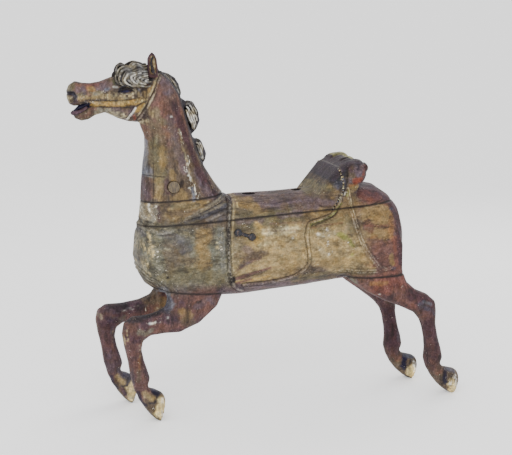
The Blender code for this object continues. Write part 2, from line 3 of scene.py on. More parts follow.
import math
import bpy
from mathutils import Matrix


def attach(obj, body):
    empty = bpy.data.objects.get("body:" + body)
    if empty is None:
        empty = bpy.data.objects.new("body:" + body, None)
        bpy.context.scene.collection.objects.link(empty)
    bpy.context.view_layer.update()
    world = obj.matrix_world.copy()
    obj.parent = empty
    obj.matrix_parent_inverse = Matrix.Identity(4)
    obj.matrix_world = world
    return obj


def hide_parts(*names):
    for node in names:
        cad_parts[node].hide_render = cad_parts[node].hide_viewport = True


bl_info = {
    "name": "Old carousel horse",
    "version": (1, 0, 0),
    "blender": (4, 5, 0),
    "location": "3D View > Sidebar > Horse",
    "description": "Carves, paints and lights the blocks of an old wooden carousel horse",
    "category": "Add Mesh",
}

import bpy
import numpy as np
from mathutils import Vector

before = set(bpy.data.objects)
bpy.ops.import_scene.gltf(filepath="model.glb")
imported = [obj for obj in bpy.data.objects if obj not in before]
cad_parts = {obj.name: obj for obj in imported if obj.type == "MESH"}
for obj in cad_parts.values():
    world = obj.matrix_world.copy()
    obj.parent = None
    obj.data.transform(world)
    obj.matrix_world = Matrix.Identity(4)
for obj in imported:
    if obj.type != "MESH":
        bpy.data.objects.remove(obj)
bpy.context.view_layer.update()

# The carving is drawn in millimetres in side view, on a grid whose origin lies this far forward
GRID_SHIFT = 0.0152
LEFT = -1
RIGHT = 1

BLOCKS = (
    "head_and_neck", "back_and_saddle", "barrel",
    "front_left_leg", "front_right_leg", "rear_left_leg", "rear_right_leg",
)
PAINT_SLOTS = {
    "head_and_neck": "head_paint", "back_and_saddle": "back_paint", "barrel": "body_paint",
    "front_left_leg": "leg_paint", "front_right_leg": "leg_paint",
    "rear_left_leg": "leg_paint", "rear_right_leg": "leg_paint",
}

# Seams between the blocks
NECK_SEAM = ((-800, 730), (-140, 766))
BODY_SEAM = ((-800, 650), (800, 738))
FRONT_LEG_SEAM = ((-700, 477), (-163, 431))
REAR_LEG_SEAM = ((252, 457), (760, 457))
KEEL_HALF = 0.020
SEAM_HALF_GAP = 0.00015

# Shift of the right legs against the left ones, at the hoof
FRONT_REACH = -57
REAR_REACH = -78

# Rounds of smoothing of the carved skins, and of the small fittings
BODY_ROUNDS = 45
HEAD_ROUNDS = 60
FITTING_ROUNDS = 3
# Faces that turn by more than this meet in a sharp edge
SHARP = math.radians(50)
# Corners nearer than this are one, in metres
WELD_GAP = 1e-5

# Middle of each round lobe of the cantle from the horse's middle, and its centre in side view
LOBE_MIDDLE = 44
LOBE_CENTRE = (326, 828)
# Pole hole and rear socket: middle in side view, reach
HOLES = ((-57, 25), (118, 20))

# Run of the wood's grain along each axis, for each paint
GRAINS = {
    "head_paint": (70.0, 70.0, 14.0), "back_paint": (14.0, 60.0, 70.0),
    "body_paint": (26.0, 60.0, 60.0), "leg_paint": (60.0, 60.0, 16.0),
}

# The photograph's width and the lens, both in its pixels, and the film
PHOTO_WIDTH = 512
FOCAL_PIXELS = 1306.45
FILM = 36
CAMERA_PLACE = (-1.2876, -4.3406, 1.5116)
CAMERA_AIM = (-0.0429, 0, 0.6338)
LAMP_AIM = (0, 0, 0.7)
# Lamps: name, place, size, share of the lamp's power
LAMPS = (("lamp_left", (-1.6, -3.2, 3.2), 2.2, 1.0), ("lamp_behind", (2.2, 2.4, 2.8), 2.0, 0.5))

# Colours of the old paint, linear
TINTS = {
    "chalk": (0.791, 0.764, 0.699), "cream": (0.558, 0.435, 0.205), "bone": (0.391, 0.332, 0.196),
    "stone": (0.171, 0.148, 0.108), "sage": (0.110, 0.105, 0.076), "moss": (0.137, 0.148, 0.036),
    "straw": (0.232, 0.168, 0.080), "ochre": (0.176, 0.118, 0.050), "gold": (0.300, 0.190, 0.055),
    "orange": (0.200, 0.098, 0.036), "olive": (0.095, 0.080, 0.045), "umber": (0.076, 0.055, 0.039),
    "chestnut": (0.094, 0.047, 0.040), "russet": (0.104, 0.040, 0.032), "rust": (0.137, 0.035, 0.023),
    "plum": (0.048, 0.027, 0.036), "mauve": (0.085, 0.059, 0.069), "wine": (0.043, 0.021, 0.026),
    "slate": (0.048, 0.046, 0.061), "steel": (0.115, 0.117, 0.140), "charcoal": (0.020, 0.019, 0.024),
    "navy": (0.009, 0.008, 0.023), "soot": (0.009, 0.007, 0.009),
}
TINTS = {name: np.array(tint) for name, tint in TINTS.items()}
# Tints that lie in broken flecks
PALE = ("chalk", "bone", "cream")
# Tints of the beads on the cantle's edge, in turn
BEAD_TINTS = (
    "straw", "soot", "olive", "stone", "soot", "bone", "soot", "steel", "umber", "soot", "stone",
)

# Brush strokes in side view, laid one over another, in groups by where they go: B both sides,
# H head, C cantle, L left leg, R inside of the right leg. Each has its tint, half width and
# strength, and then its path, the places' two numbers one after another
STROKES = (
    # first coats
    ("B", (
        ("umber", 900, 1.0, 0, 600), ("sage", 120, 0.85, -400, 560, -300, 560, -200, 560),
        ("stone", 30, 0.85, -445, 716, -400, 712), ("ochre", 26, 0.6, -350, 716, -190, 738),
        ("straw", 92, 0.9, -60, 560, 30, 570), ("olive", 40, 0.6, -130, 690, 60, 690),
        ("straw", 74, 0.9, 180, 620, 230, 600, 280, 560), ("ochre", 40, 0.6, 150, 690, 270, 700),
        ("chestnut", 90, 0.95, 420, 720, 450, 600, 440, 500),
        ("plum", 34, 0.8, 330, 790, 400, 784, 470, 740, 506, 660, 515, 580, 512, 500),
        ("mauve", 40, 0.85, -130, 780, 0, 772, 120, 780), ("mauve", 26, 0.7, -200, 418, 0, 424, 160, 434),
    )),
    ("L", (
        ("chestnut", 70, 0.9, 340, 430, 430, 420, 500, 400),
        ("wine", 60, 0.7, 440, 390, 560, 350, 600, 280, 605, 150), ("plum", 70, 0.7, -330, 430, -220, 400),
        ("wine", 46, 0.7, -200, 360, -300, 345, -420, 340),
        ("chestnut", 44, 0.8, -430, 345, -490, 330, -495, 270, -480, 200, -470, 120),
    )),
    ("B", (
        ("chestnut", 90, 0.85, -370, 1040, -340, 960), ("umber", 80, 0.8, -340, 900, -320, 800),
    )),
    ("H", (
        ("umber", 70, 0.9, -500, 1090, -420, 1080),
    )),
    # chest
    ("B", (
        ("stone", 30, 0.9, -475, 682, -484, 634, -486, 588, -475, 548),
        ("sage", 22, 0.8, -406, 641, -401, 598, -398, 552), ("umber", 26, 0.7, -364, 612, -352, 565, -365, 535),
        ("umber", 20, 0.6, -321, 594, -306, 562), ("ochre", 24, 0.85, -252, 645, -259, 605, -250, 574, -253, 540),
        ("sage", 20, 0.8, -190, 648, -187, 586, -181, 523), ("olive", 28, 0.7, -353, 503, -275, 504, -197, 487),
        ("slate", 12, 0.5, -339, 616, -302, 605, -321, 594), ("slate", 9, 0.6, -463, 687, -458, 663, -443, 644),
        ("cream", 4, 0.9, -429, 649, -428, 630, -431, 612), ("cream", 5, 0.9, -422, 612, -419, 584, -423, 567),
        ("cream", 3.5, 0.8, -443, 613, -441, 582), ("cream", 4, 0.8, -438, 558, -435, 533),
        ("cream", 3, 0.8, -472, 560, -463, 547), ("cream", 3, 0.8, -430, 514, -424, 498),
        ("bone", 3, 0.8, -477, 615, -480, 597), ("bone", 4, 0.7, -455, 638, -454, 614),
        ("bone", 4, 0.7, -462, 590, -459, 571), ("chalk", 3, 0.9, -378, 602), ("chalk", 3, 0.9, -364, 601),
        ("cream", 4, 0.7, -206, 618, -203, 599), ("bone", 4, 0.7, -209, 587, -209, 572),
        ("bone", 3, 0.7, -190, 636, -187, 620), ("soot", 4, 0.95, -370, 499), ("soot", 2.5, 0.7, -269, 485),
        ("umber", 4, 0.6, -376, 646, -336, 644), ("bone", 2.5, 0.7, -406, 666, -363, 664),
    )),
    # shoulder
    ("B", (
        ("umber", 18, 0.7, -382, 725, -376, 697), ("wine", 6, 0.6, -394, 737, -391, 716, -392, 692),
        ("ochre", 20, 0.85, -333, 713, -296, 730, -252, 734, -215, 738), ("olive", 14, 0.6, -309, 687, -265, 697),
        # The faint steel stroke over the collar folds is a painted highlight.
        ("steel", 13, 0.3, -222, 695, -184, 712, -159, 726), ("slate", 7, 0.5, -190, 687, -159, 698),
        ("cream", 4, 0.85, -446, 743, -443, 725), ("cream", 5, 0.85, -428, 748, -425, 718, -424, 699),
        ("cream", 4, 0.8, -414, 738, -413, 717), ("cream", 4, 0.8, -373, 721, -372, 709),
        ("straw", 5, 0.85, -358, 730, -361, 708), ("cream", 3, 0.7, -348, 732, -349, 714),
        ("bone", 3, 0.8, -413, 699, -410, 686), ("chalk", 3, 0.9, -198, 733),
        ("bone", 2.5, 0.7, -259, 703, -234, 714, -206, 722, -181, 733), ("bone", 2.5, 0.6, -221, 714, -193, 724),
        ("steel", 6, 0.7, -168, 769, -149, 762),
    )),
    # neck low
    ("B", (
        ("steel", 12, 0.75, -438, 865, -432, 846), ("steel", 10, 0.6, -413, 864, -410, 846),
        ("mauve", 14, 0.85, -438, 829, -430, 792, -430, 764), ("wine", 8, 0.5, -414, 828, -415, 764),
        ("straw", 12, 0.8, -383, 832, -386, 808, -390, 772), ("ochre", 10, 0.8, -343, 855, -337, 827),
        ("ochre", 18, 0.7, -338, 760, -313, 768), ("wine", 9, 0.6, -362, 825, -359, 785),
        ("umber", 10, 0.6, -378, 762, -350, 748), ("ochre", 9, 0.7, -313, 789, -301, 767),
        ("mauve", 22, 0.85, -238, 838, -225, 801, -207, 769),
        ("wine", 10, 0.75, -228, 856, -210, 809, -194, 775, -182, 762),
        ("bone", 3.5, 0.6, -284, 859, -283, 834, -275, 821), ("chalk", 4, 0.9, -293, 853, -287, 840, -278, 825),
        ("chalk", 4, 0.9, -285, 800), ("steel", 5, 0.9, -275, 797, -272, 772, -271, 757),
        ("chalk", 4, 0.85, -262, 778, -260, 762), ("cream", 4, 0.8, -266, 809),
        ("cream", 4, 0.8, -296, 751, -288, 753), ("cream", 3, 0.8, -220, 747),
        ("bone", 3, 0.7, -203, 800, -200, 784), ("bone", 3, 0.7, -166, 777),
        ("chalk", 4, 1, -442, 820, -441, 810), ("soot", 7, 0.75, -308, 818, -313, 808),
        ("bone", 3, 0.7, -371, 798), ("bone", 2.5, 0.7, -362, 792), ("soot", 2, 0.7, -285, 810),
    )),
    # neck
    ("B", (
        ("olive", 22, 0.8, -387, 964, -382, 896, -382, 845), ("ochre", 12, 0.6, -374, 929, -372, 868),
        ("chestnut", 22, 0.85, -386, 1071, -370, 1013, -360, 963),
        ("steel", 8, 0.8, -423, 955, -424, 897, -425, 847),
        ("wine", 11, 0.85, -324, 1079, -304, 1011, -278, 943, -254, 874, -230, 814),
        ("mauve", 14, 0.6, -345, 1030, -326, 945, -299, 858),
        ("bone", 3.5, 0.5, -311, 1002, -302, 944, -288, 885, -275, 823),
        ("bone", 2.4, 0.85, -312, 995, -308, 974), ("bone", 2.2, 0.85, -305, 951, -298, 927),
        ("cream", 4, 0.9, -292, 899, -289, 878), ("bone", 2.2, 0.85, -285, 858, -282, 837),
        ("chalk", 2.5, 0.9, -338, 1039), ("soot", 2.5, 0.8, -401, 883), ("straw", 3, 0.7, -410, 1072, -410, 1048),
        ("bone", 8, 0.55, -437, 1026, -421, 1018), ("russet", 8, 0.5, -363, 1003, -350, 976),
    )),
    # saddle top
    ("B", (
        ("ochre", 18, 0.85, -103, 739, -71, 733, -35, 709), ("mauve", 24, 0.85, -26, 744, 34, 741, 99, 743),
        ("plum", 14, 0.85, -80, 769, -26, 771, 34, 773, 89, 775), ("mauve", 20, 0.8, 90, 721, 159, 731, 206, 733),
        # The cream line down the saddle's front bead is a painted highlight.
        ("umber", 12, 0.6, 43, 719, 113, 720), ("cream", 4, 0.7, -116, 766, -116, 740, -123, 714),
        ("umber", 18, 0.8, 145, 763, 201, 760, 225, 755), ("ochre", 8, 0.7, 210, 751, 229, 759),
    )),
    # flap
    ("B", (
        ("straw", 60, 0.9, -44, 564, 11, 570, 80, 579), ("straw", 30, 0.8, -44, 627, 61, 621),
        ("olive", 18, 0.6, -103, 683, -12, 687, 79, 696), ("mauve", 11, 0.55, -121, 680, -44, 680),
        ("mauve", 11, 0.6, 24, 694, 98, 699), ("gold", 12, 0.7, -58, 663, -44, 636, -62, 610),
        ("bone", 12, 0.75, -35, 644, 11, 641, 79, 647), ("cream", 6, 0.7, -58, 601, -12, 603, 24, 609),
        ("ochre", 28, 0.6, 11, 534, 62, 513), ("mauve", 14, 0.6, -103, 590, -80, 571, -90, 549),
        ("soot", 4, 0.5, -144, 561, -103, 554, -58, 560), ("umber", 10, 0.6, -135, 570, -58, 556),
        ("straw", 10, 0.8, -103, 465, -58, 471, 11, 480), ("chestnut", 4, 0.7, -126, 480, -81, 486),
        ("cream", 2.5, 0.85, -135, 498, -81, 504, -44, 510), ("gold", 3, 0.75, -131, 471, -76, 472, -12, 483),
        ("cream", 2.5, 0.7, -126, 486, -85, 493), ("soot", 10, 0.97, -143, 481),
        ("bone", 5, 0.5, 43, 613, 70, 616), ("chalk", 2.5, 0.8, 66, 616),
        ("chestnut", 2.5, 0.6, -31, 645, 33, 644, 98, 640), ("chestnut", 2.5, 0.5, -12, 669, 98, 668),
        ("bone", 3, 0.6, -144, 508, -143, 499), ("bone", 8, 0.5, 61, 603, 98, 583),
        ("mauve", 14, 0.7, -126, 448, -12, 449, 81, 462), ("olive", 14, 0.6, 81, 462, 197, 472),
    )),
    # blanket
    ("B", (
        ("straw", 64, 0.9, 155, 597, 221, 570, 269, 545), ("olive", 14, 0.5, 145, 647, 196, 662, 248, 664),
        ("russet", 2.5, 0.5, 136, 648, 196, 656, 248, 660), ("chalk", 4, 0.85, 157, 626, 173, 618),
        ("chalk", 3.5, 0.85, 192, 642, 197, 622), ("bone", 12, 0.3, 164, 623, 211, 621),
        ("chalk", 4, 0.8, 165, 574), ("chalk", 4, 0.85, 183, 564, 198, 549), ("bone", 3, 0.8, 193, 522),
        ("bone", 9, 0.3, 174, 569, 198, 535), ("moss", 9, 0.75, 234, 620, 258, 609),
        ("moss", 7, 0.75, 272, 599, 287, 576), ("moss", 6, 0.7, 287, 544), ("moss", 5, 0.6, 244, 605),
        ("bone", 8, 0.6, 296, 593, 320, 588), ("straw", 20, 0.8, 222, 502, 317, 514),
        ("ochre", 20, 0.6, 174, 528, 245, 523), ("olive", 12, 0.6, 267, 681, 281, 635),
        ("cream", 2, 0.6, 240, 578, 287, 567), ("straw", 9, 0.7, 222, 493, 365, 488),
        ("olive", 8, 0.6, 222, 479, 365, 475), ("ochre", 12, 0.6, 326, 528, 355, 512),
    )),
    # rump
    ("B", (
        ("ochre", 30, 0.85, 347, 682, 395, 688, 419, 669), ("ochre", 24, 0.8, 362, 626, 411, 614),
        ("chestnut", 16, 0.7, 338, 655, 353, 627), ("orange", 12, 0.6, 439, 668, 435, 599),
        ("chestnut", 18, 0.7, 373, 557, 422, 544), ("russet", 16, 0.85, 455, 584, 462, 505, 447, 478),
        ("ochre", 9, 0.7, 432, 530, 437, 502), ("russet", 24, 0.85, 336, 750, 384, 744, 423, 728),
        ("mauve", 15, 0.85, 317, 774, 345, 786, 384, 771),
        ("wine", 15, 0.9, 345, 798, 398, 768, 437, 732, 462, 685, 471, 620, 473, 551, 484, 499, 500, 442),
        ("slate", 4, 0.8, 438, 695, 448, 693), ("bone", 3, 0.6, 370, 712, 418, 718),
        ("orange", 3, 0.6, 353, 599, 377, 607), ("russet", 4, 0.6, 333, 646, 415, 637),
        ("slate", 5, 0.7, 438, 483, 447, 485),
    )),
    # thigh
    ("L", (
        ("russet", 42, 0.9, 402, 428, 451, 430, 500, 417, 535, 386), ("orange", 9, 0.6, 358, 436, 411, 435),
        ("mauve", 9, 0.85, 257, 456, 305, 442), ("sage", 6, 0.8, 295, 452, 312, 430),
        ("chalk", 3.2, 0.95, 478, 414), ("chalk", 2.8, 0.95, 392, 392), ("bone", 3, 0.6, 474, 489),
        ("wine", 14, 0.7, 515, 421, 545, 386), ("orange", 3, 0.6, 461, 406, 496, 389),
    )),
    # rear left leg
    ("L", (
        ("chestnut", 26, 0.8, 465, 394, 507, 369), ("wine", 24, 0.85, 519, 385, 555, 365, 597, 340),
        # The steel line over the hock is a painted highlight.
        ("slate", 9, 0.85, 546, 346, 580, 329), ("steel", 4.5, 0.95, 561, 355, 591, 343),
        ("chestnut", 14, 0.75, 562, 308, 593, 288), ("slate", 5, 0.7, 598, 322, 604, 305),
        ("wine", 22, 0.8, 587, 266, 601, 219, 608, 166), ("chestnut", 11, 0.7, 595, 208, 602, 161),
        ("plum", 9, 0.85, 632, 176, 645, 134), ("slate", 5, 0.5, 618, 229, 626, 194),
        ("russet", 7, 0.4, 623, 81, 638, 88), ("chestnut", 9, 0.6, 603, 132, 610, 102),
        ("navy", 8, 0.9, 653, 87, 648, 61, 657, 45), ("slate", 6, 0.8, 659, 93, 690, 84),
        ("cream", 14, 0.95, 676, 44, 689, 10), ("chalk", 7, 0.85, 690, 66, 694, 30),
        ("plum", 3.5, 0.85, 710, 73, 712, -1), ("umber", 3.5, 0.6, 672, 43),
        ("slate", 4, 0.85, 658, 16, 683, -5, 708, -7), ("charcoal", 2.5, 0.9, 678, 73, 666, 50, 636, 38),
    )),
    # rear right leg
    ("R", (
        ("wine", 26, 0.85, 530, 277, 531, 218, 526, 158), ("plum", 13, 0.85, 507, 220, 507, 160),
        ("steel", 5, 0.6, 551, 187, 551, 157), ("sage", 4, 0.6, 492, 313, 530, 295),
        ("chestnut", 8, 0.6, 559, 240, 563, 180), ("navy", 10, 0.92, 578, 82, 572, 57),
        ("slate", 5, 0.85, 578, 94, 625, 83), ("cream", 10, 0.95, 604, 47, 598, 25),
        ("chalk", 5, 0.85, 625, 66, 623, 36), ("charcoal", 7, 0.92, 599, 5, 624, -2),
        ("plum", 3, 0.8, 632, 72, 631, 11),
    )),
    # front left leg
    ("L", (
        ("chestnut", 44, 0.8, -320, 395, -266, 410, -230, 407),
        ("ochre", 13, 0.6, -331, 385, -299, 369, -320, 359), ("mauve", 12, 0.65, -273, 399, -237, 422, -212, 406),
        ("soot", 5, 0.92, -275, 414, -264, 415), ("plum", 9, 0.7, -327, 414, -329, 403),
        ("plum", 22, 0.8, -448, 347, -406, 351, -356, 351),
        ("chestnut", 18, 0.8, -427, 328, -374, 324, -338, 328),
        ("wine", 14, 0.75, -356, 311, -303, 318, -248, 340, -212, 370), ("umber", 14, 0.6, -320, 349, -292, 339),
        ("steel", 12, 0.85, -381, 455, -373, 431, -362, 406), ("slate", 12, 0.75, -369, 420, -373, 392),
        ("charcoal", 8, 0.85, -508, 359, -448, 369, -391, 386),
        # The first chalk line here, along the forearm, is a painted highlight.
        ("chalk", 3.2, 0.92, -455, 346, -427, 351, -377, 364), ("chalk", 3.2, 0.95, -244, 352),
        ("sage", 9, 0.8, -477, 321, -449, 315, -435, 325), ("wine", 13, 0.8, -509, 302, -477, 296),
        ("cream", 5.5, 0.97, -521, 313, -520, 284), ("bone", 4.5, 0.8, -522, 338, -514, 323),
        ("soot", 3.5, 0.85, -522, 335), ("chestnut", 15, 0.85, -499, 261, -493, 210, -490, 156),
        ("bone", 3, 0.85, -474, 281, -473, 237), ("orange", 3.5, 0.65, -477, 227, -476, 191),
        ("plum", 9, 0.85, -461, 244, -451, 188, -443, 155), ("olive", 8, 0.6, -479, 187, -480, 151),
        ("slate", 5, 0.6, -500, 193, -498, 138), ("straw", 10, 0.9, -459, 105, -438, 85),
        ("navy", 8, 0.92, -431, 108, -413, 99), ("slate", 5, 0.9, -434, 115, -409, 108, -388, 92),
        ("navy", 6, 0.85, -481, 107, -474, 77, -460, 61), ("cream", 16, 0.93, -403, 74, -410, 42, -418, 21),
        ("chalk", 5, 0.8, -399, 81, -403, 56), ("charcoal", 3, 0.92, -417, 92, -428, 72, -446, 70),
        ("rust", 3.5, 0.85, -412, 50), ("plum", 3.5, 0.85, -385, 84, -389, 44),
        ("charcoal", 4.5, 0.85, -436, 22, -411, 1, -396, 15), ("stone", 5, 0.8, -403, 19),
        ("umber", 3, 0.6, -417, 68),
    )),
    # front right leg
    ("R", (
        ("umber", 28, 0.8, -430, 395, -393, 385), ("charcoal", 20, 0.9, -489, 365, -522, 368, -533, 361),
        ("plum", 18, 0.85, -467, 379, -438, 369), ("chestnut", 11, 0.65, -408, 352, -379, 358),
        ("bone", 3, 0.9, -373, 353), ("bone", 4, 0.85, -573, 347, -571, 327),
        ("mauve", 13, 0.7, -562, 363, -576, 353), ("navy", 9, 0.85, -550, 329, -534, 313, -519, 315),
        ("chestnut", 14, 0.85, -566, 270, -554, 225), ("steel", 3, 0.75, -534, 290, -538, 268),
        ("charcoal", 8, 0.9, -524, 260, -510, 206, -500, 179),
        ("mauve", 20, 0.8, -544, 186, -526, 162, -541, 141), ("slate", 13, 0.85, -512, 131, -494, 114, -480, 90),
        ("navy", 7, 0.85, -501, 126, -481, 128), ("bone", 4, 0.9, -505, 134),
        ("cream", 7, 0.9, -482, 67, -477, 55), ("stone", 9, 0.92, -473, 40, -470, 27),
        ("plum", 6, 0.85, -502, 58, -484, 26), ("soot", 3, 0.8, -473, 42),
    )),
    # head
    ("H", (
        ("chestnut", 26, 0.8, -632, 1152, -597, 1153, -569, 1160),
        ("mauve", 13, 0.75, -579, 1144, -560, 1143, -546, 1148),
        ("olive", 9, 0.8, -664, 1157, -666, 1148, -674, 1137), ("umber", 7, 0.7, -655, 1162),
        ("mauve", 11, 0.75, -644, 1136, -630, 1131), ("orange", 9, 0.9, -609, 1140, -597, 1133),
        ("russet", 6, 0.6, -616, 1149, -578, 1151), ("olive", 11, 0.75, -642, 1115, -612, 1119, -579, 1121),
        ("straw", 8, 0.8, -640, 1108, -605, 1112, -570, 1111, -547, 1113),
        ("stone", 6, 0.75, -593, 1121, -583, 1118), ("chestnut", 6, 0.7, -616, 1121, -609, 1117),
        ("bone", 6, 0.7, -561, 1113, -523, 1109), ("navy", 4.5, 0.97, -685, 1120, -674, 1122, -666, 1125),
        ("slate", 4.5, 0.75, -663, 1123, -655, 1112, -662, 1101),
        ("bone", 8, 0.9, -680, 1110, -674, 1100, -682, 1095),
        ("plum", 3, 0.75, -686, 1093, -675, 1086, -662, 1088), ("steel", 5, 0.7, -555, 1134, -546, 1138),
        ("bone", 3, 0.7, -570, 1125), ("chalk", 2.2, 0.6, -531, 1143, -519, 1142),
        ("moss", 3.5, 0.5, -527, 1161, -525, 1152), ("bone", 8, 0.75, -500, 1108, -476, 1112, -464, 1118),
        ("straw", 6, 0.7, -547, 1105, -500, 1103), ("umber", 5, 0.7, -603, 1091, -570, 1088, -542, 1089),
        ("gold", 6.5, 0.92, -538, 1088, -509, 1086, -476, 1088, -453, 1089),
        ("cream", 6.5, 0.85, -453, 1094, -433, 1101, -419, 1097), ("orange", 2.5, 0.7, -481, 1097, -467, 1098),
        ("stone", 3.5, 0.55, -601, 1097, -566, 1096), ("stone", 14, 0.8, -580, 1060, -548, 1059, -524, 1049),
        ("bone", 8, 0.8, -538, 1061, -510, 1051, -491, 1048), ("umber", 7, 0.65, -512, 1065, -489, 1065),
        ("chestnut", 5.5, 0.75, -604, 1070, -592, 1070), ("umber", 11, 0.75, -642, 1041, -623, 1048, -609, 1056),
        ("olive", 6, 0.6, -635, 1039, -618, 1043), ("plum", 8, 0.75, -473, 1060, -467, 1071),
        ("gold", 8, 0.85, -453, 1064, -443, 1070, -431, 1079), ("rust", 5, 0.85, -463, 1043, -458, 1033),
        ("plum", 9, 0.65, -442, 1047, -432, 1047), ("ochre", 10, 0.9, -431, 1119, -417, 1117, -407, 1128),
        ("straw", 5, 0.85, -405, 1121), ("stone", 7, 0.7, -461, 1127, -454, 1120),
        ("steel", 4, 0.65, -449, 1136, -440, 1112), ("soot", 4.5, 0.75, -445, 1122, -431, 1131),
        ("straw", 8, 0.9, -444, 1150, -421, 1154, -402, 1154), ("rust", 3.5, 0.65, -428, 1148, -407, 1149),
        ("bone", 2.2, 0.7, -380, 1148, -388, 1125, -402, 1102, -417, 1074),
        ("sage", 5, 0.7, -382, 1167, -392, 1139), ("chestnut", 22, 0.8, -369, 1134, -374, 1101, -372, 1068),
        ("mauve", 18, 0.8, -356, 1157, -347, 1127), ("olive", 13, 0.7, -391, 1057, -382, 1031, -368, 1021),
        ("straw", 4.5, 0.7, -401, 1055, -401, 1043), ("bone", 5.5, 0.65, -430, 1022, -416, 1026),
        ("chalk", 1.1, 0.9, -457, 1071, -470, 1050, -482, 1032), ("mauve", 4.5, 0.85, -667, 1057, -662, 1070),
        ("bone", 3.5, 0.6, -657, 1062),
    )),
    # cantle
    ("C", (
        ("charcoal", 44, 0.97, 143, 818, 180, 847, 208, 824, 190, 793),
        ("charcoal", 20, 0.95, 226, 859, 236, 814, 222, 792), ("plum", 9, 0.7, 170, 865, 226, 872),
        ("slate", 14, 0.45, 198, 851, 217, 832), ("umber", 14, 0.8, 153, 770, 208, 777, 227, 769),
        ("ochre", 7, 0.75, 204, 787, 220, 782), ("ochre", 10, 0.7, 204, 757, 227, 765),
        ("bone", 1.8, 0.8, 140, 824, 171, 812, 194, 802), ("mauve", 16, 0.92, 299, 856, 311, 833),
        ("slate", 7, 0.75, 297, 861, 334, 859), ("rust", 7, 0.75, 332, 854, 326, 827),
        ("rust", 9, 0.75, 293, 806, 317, 810), ("orange", 5.5, 0.85, 276, 789, 302, 793),
        ("straw", 8, 0.9, 274, 767, 298, 778),
    )),
    ("R", (
        # These broad wine washes darken the inner faces of the far legs: paint, and painted shade.
        ("wine", 70, 0.5, -540, 330, -530, 200), ("wine", 60, 0.5, 530, 300, 530, 180),
    )),
    ("L", (
        ("plum", 60, 0.35, -490, 300, -480, 160), ("wine", 60, 0.35, 590, 330, 600, 150),
    )),
    ("B", (
        ("olive", 26, 0.5, -393, 997, -387, 953, -398, 903), ("ochre", 13, 0.35, -367, 929, -367, 888),
        ("umber", 20, 0.5, -352, 1009, -339, 962, -326, 914), ("olive", 10, 0.6, -73, 667, -48, 627),
        ("umber", 20, 0.4, -42, 754, 66, 757, 156, 762), ("plum", 22, 0.5, 304, 777, 360, 761, 417, 732),
    )),
    # head again
    ("H", (
        ("umber", 8, 0.6, -418, 1078, -436, 1052, -446, 1035),
        ("gold", 8.5, 0.9, -553, 1087, -519, 1086, -486, 1089, -452, 1093),
        ("gold", 8.5, 0.9, -602, 1087, -573, 1086, -553, 1087),
        ("cream", 7, 0.85, -448, 1097, -435, 1099, -421, 1102), ("straw", 5, 0.8, -532, 1094, -485, 1096),
        ("orange", 3, 0.5, -546, 1083, -516, 1082),
        ("ochre", 5, 0.85, -429, 1105, -414, 1121, -400, 1137, -391, 1154),
        ("straw", 4, 0.7, -425, 1108, -411, 1118),
        ("soot", 1.7, 0.95, -609, 1079, -553, 1076, -513, 1074, -476, 1074, -455, 1079, -442, 1085),
        ("soot", 1.6, 0.7, -605, 1096, -552, 1096, -519, 1097),
        ("soot", 2.2, 0.9, -456, 1141, -452, 1125, -455, 1111),
        ("soot", 2, 0.85, -451, 1137, -437, 1140, -419, 1139),
        ("soot", 2, 0.85, -441, 1129, -434, 1133, -426, 1130), ("soot", 2, 0.8, -431, 1121, -437, 1112),
        ("soot", 1.8, 0.7, -418, 1122, -410, 1112), ("soot", 1.8, 0.7, -404, 1132, -394, 1124),
        ("soot", 2, 0.75, -411, 1149, -393, 1146), ("cream", 5, 0.8, -473, 1140, -461, 1135, -464, 1124),
        ("cream", 5, 0.75, -532, 1119, -505, 1115, -475, 1115), ("straw", 6, 0.6, -448, 1119, -441, 1105),
        ("soot", 2.2, 0.85, -375, 1183, -382, 1160, -391, 1134, -403, 1111, -417, 1085, -437, 1058, -453, 1031),
        ("bone", 1.8, 0.85, -379, 1181, -386, 1160, -396, 1136, -408, 1112),
        ("bone", 1.6, 0.7, -421, 1091, -435, 1068, -449, 1045),
        ("navy", 5, 0.95, -511, 1130, -492, 1129, -474, 1131),
        ("soot", 3, 0.95, -514, 1135, -498, 1138, -471, 1136),
        ("bone", 5, 0.6, -553, 1055, -527, 1045, -500, 1037),
        ("mauve", 8, 0.5, -533, 1068, -493, 1060, -473, 1046),
        ("chalk", 1.3, 0.95, -460, 1072, -473, 1051, -485, 1033),
        ("soot", 1.5, 0.8, -465, 1072, -477, 1053, -488, 1035),
        ("bone", 2.2, 0.85, -440, 1018, -429, 1023, -416, 1030), ("soot", 2, 0.8, -453, 1027, -439, 1028),
        ("soot", 3, 0.6, -376, 1193, -383, 1173, -386, 1160), ("wine", 8, 0.8, -396, 1197, -393, 1174),
    )),
    # muzzle again
    ("H", (
        ("stone", 8, 0.6, -675, 1148, -681, 1135), ("charcoal", 3.5, 0.8, -675, 1159, -656, 1162, -642, 1158),
        ("bone", 7, 0.7, -678, 1107, -669, 1096), ("navy", 5, 0.97, -683, 1123, -675, 1125, -663, 1124),
        ("slate", 4, 0.85, -662, 1122, -654, 1110, -657, 1099), ("wine", 3, 0.9, -660, 1097, -647, 1100),
        ("plum", 3, 0.85, -678, 1087, -665, 1089, -648, 1092), ("slate", 6, 0.8, -622, 1090, -620, 1078),
        ("slate", 8, 0.85, -666, 1052, -648, 1063, -635, 1070),
        # The thin bone line along the lower lip is a painted highlight.
        ("bone", 1.7, 0.9, -664, 1055, -655, 1061, -645, 1068),
        ("chestnut", 7, 0.6, -647, 1043, -626, 1045, -604, 1059), ("bone", 5, 0.5, -645, 1041, -633, 1038),
        ("ochre", 6, 0.7, -607, 1137, -597, 1139), ("mauve", 6, 0.6, -630, 1142, -626, 1123),
    )),
    # cantle again
    ("C", (
        ("olive", 14, 0.75, 149, 770, 182, 786, 209, 791), ("umber", 12, 0.7, 155, 747, 198, 750, 228, 755),
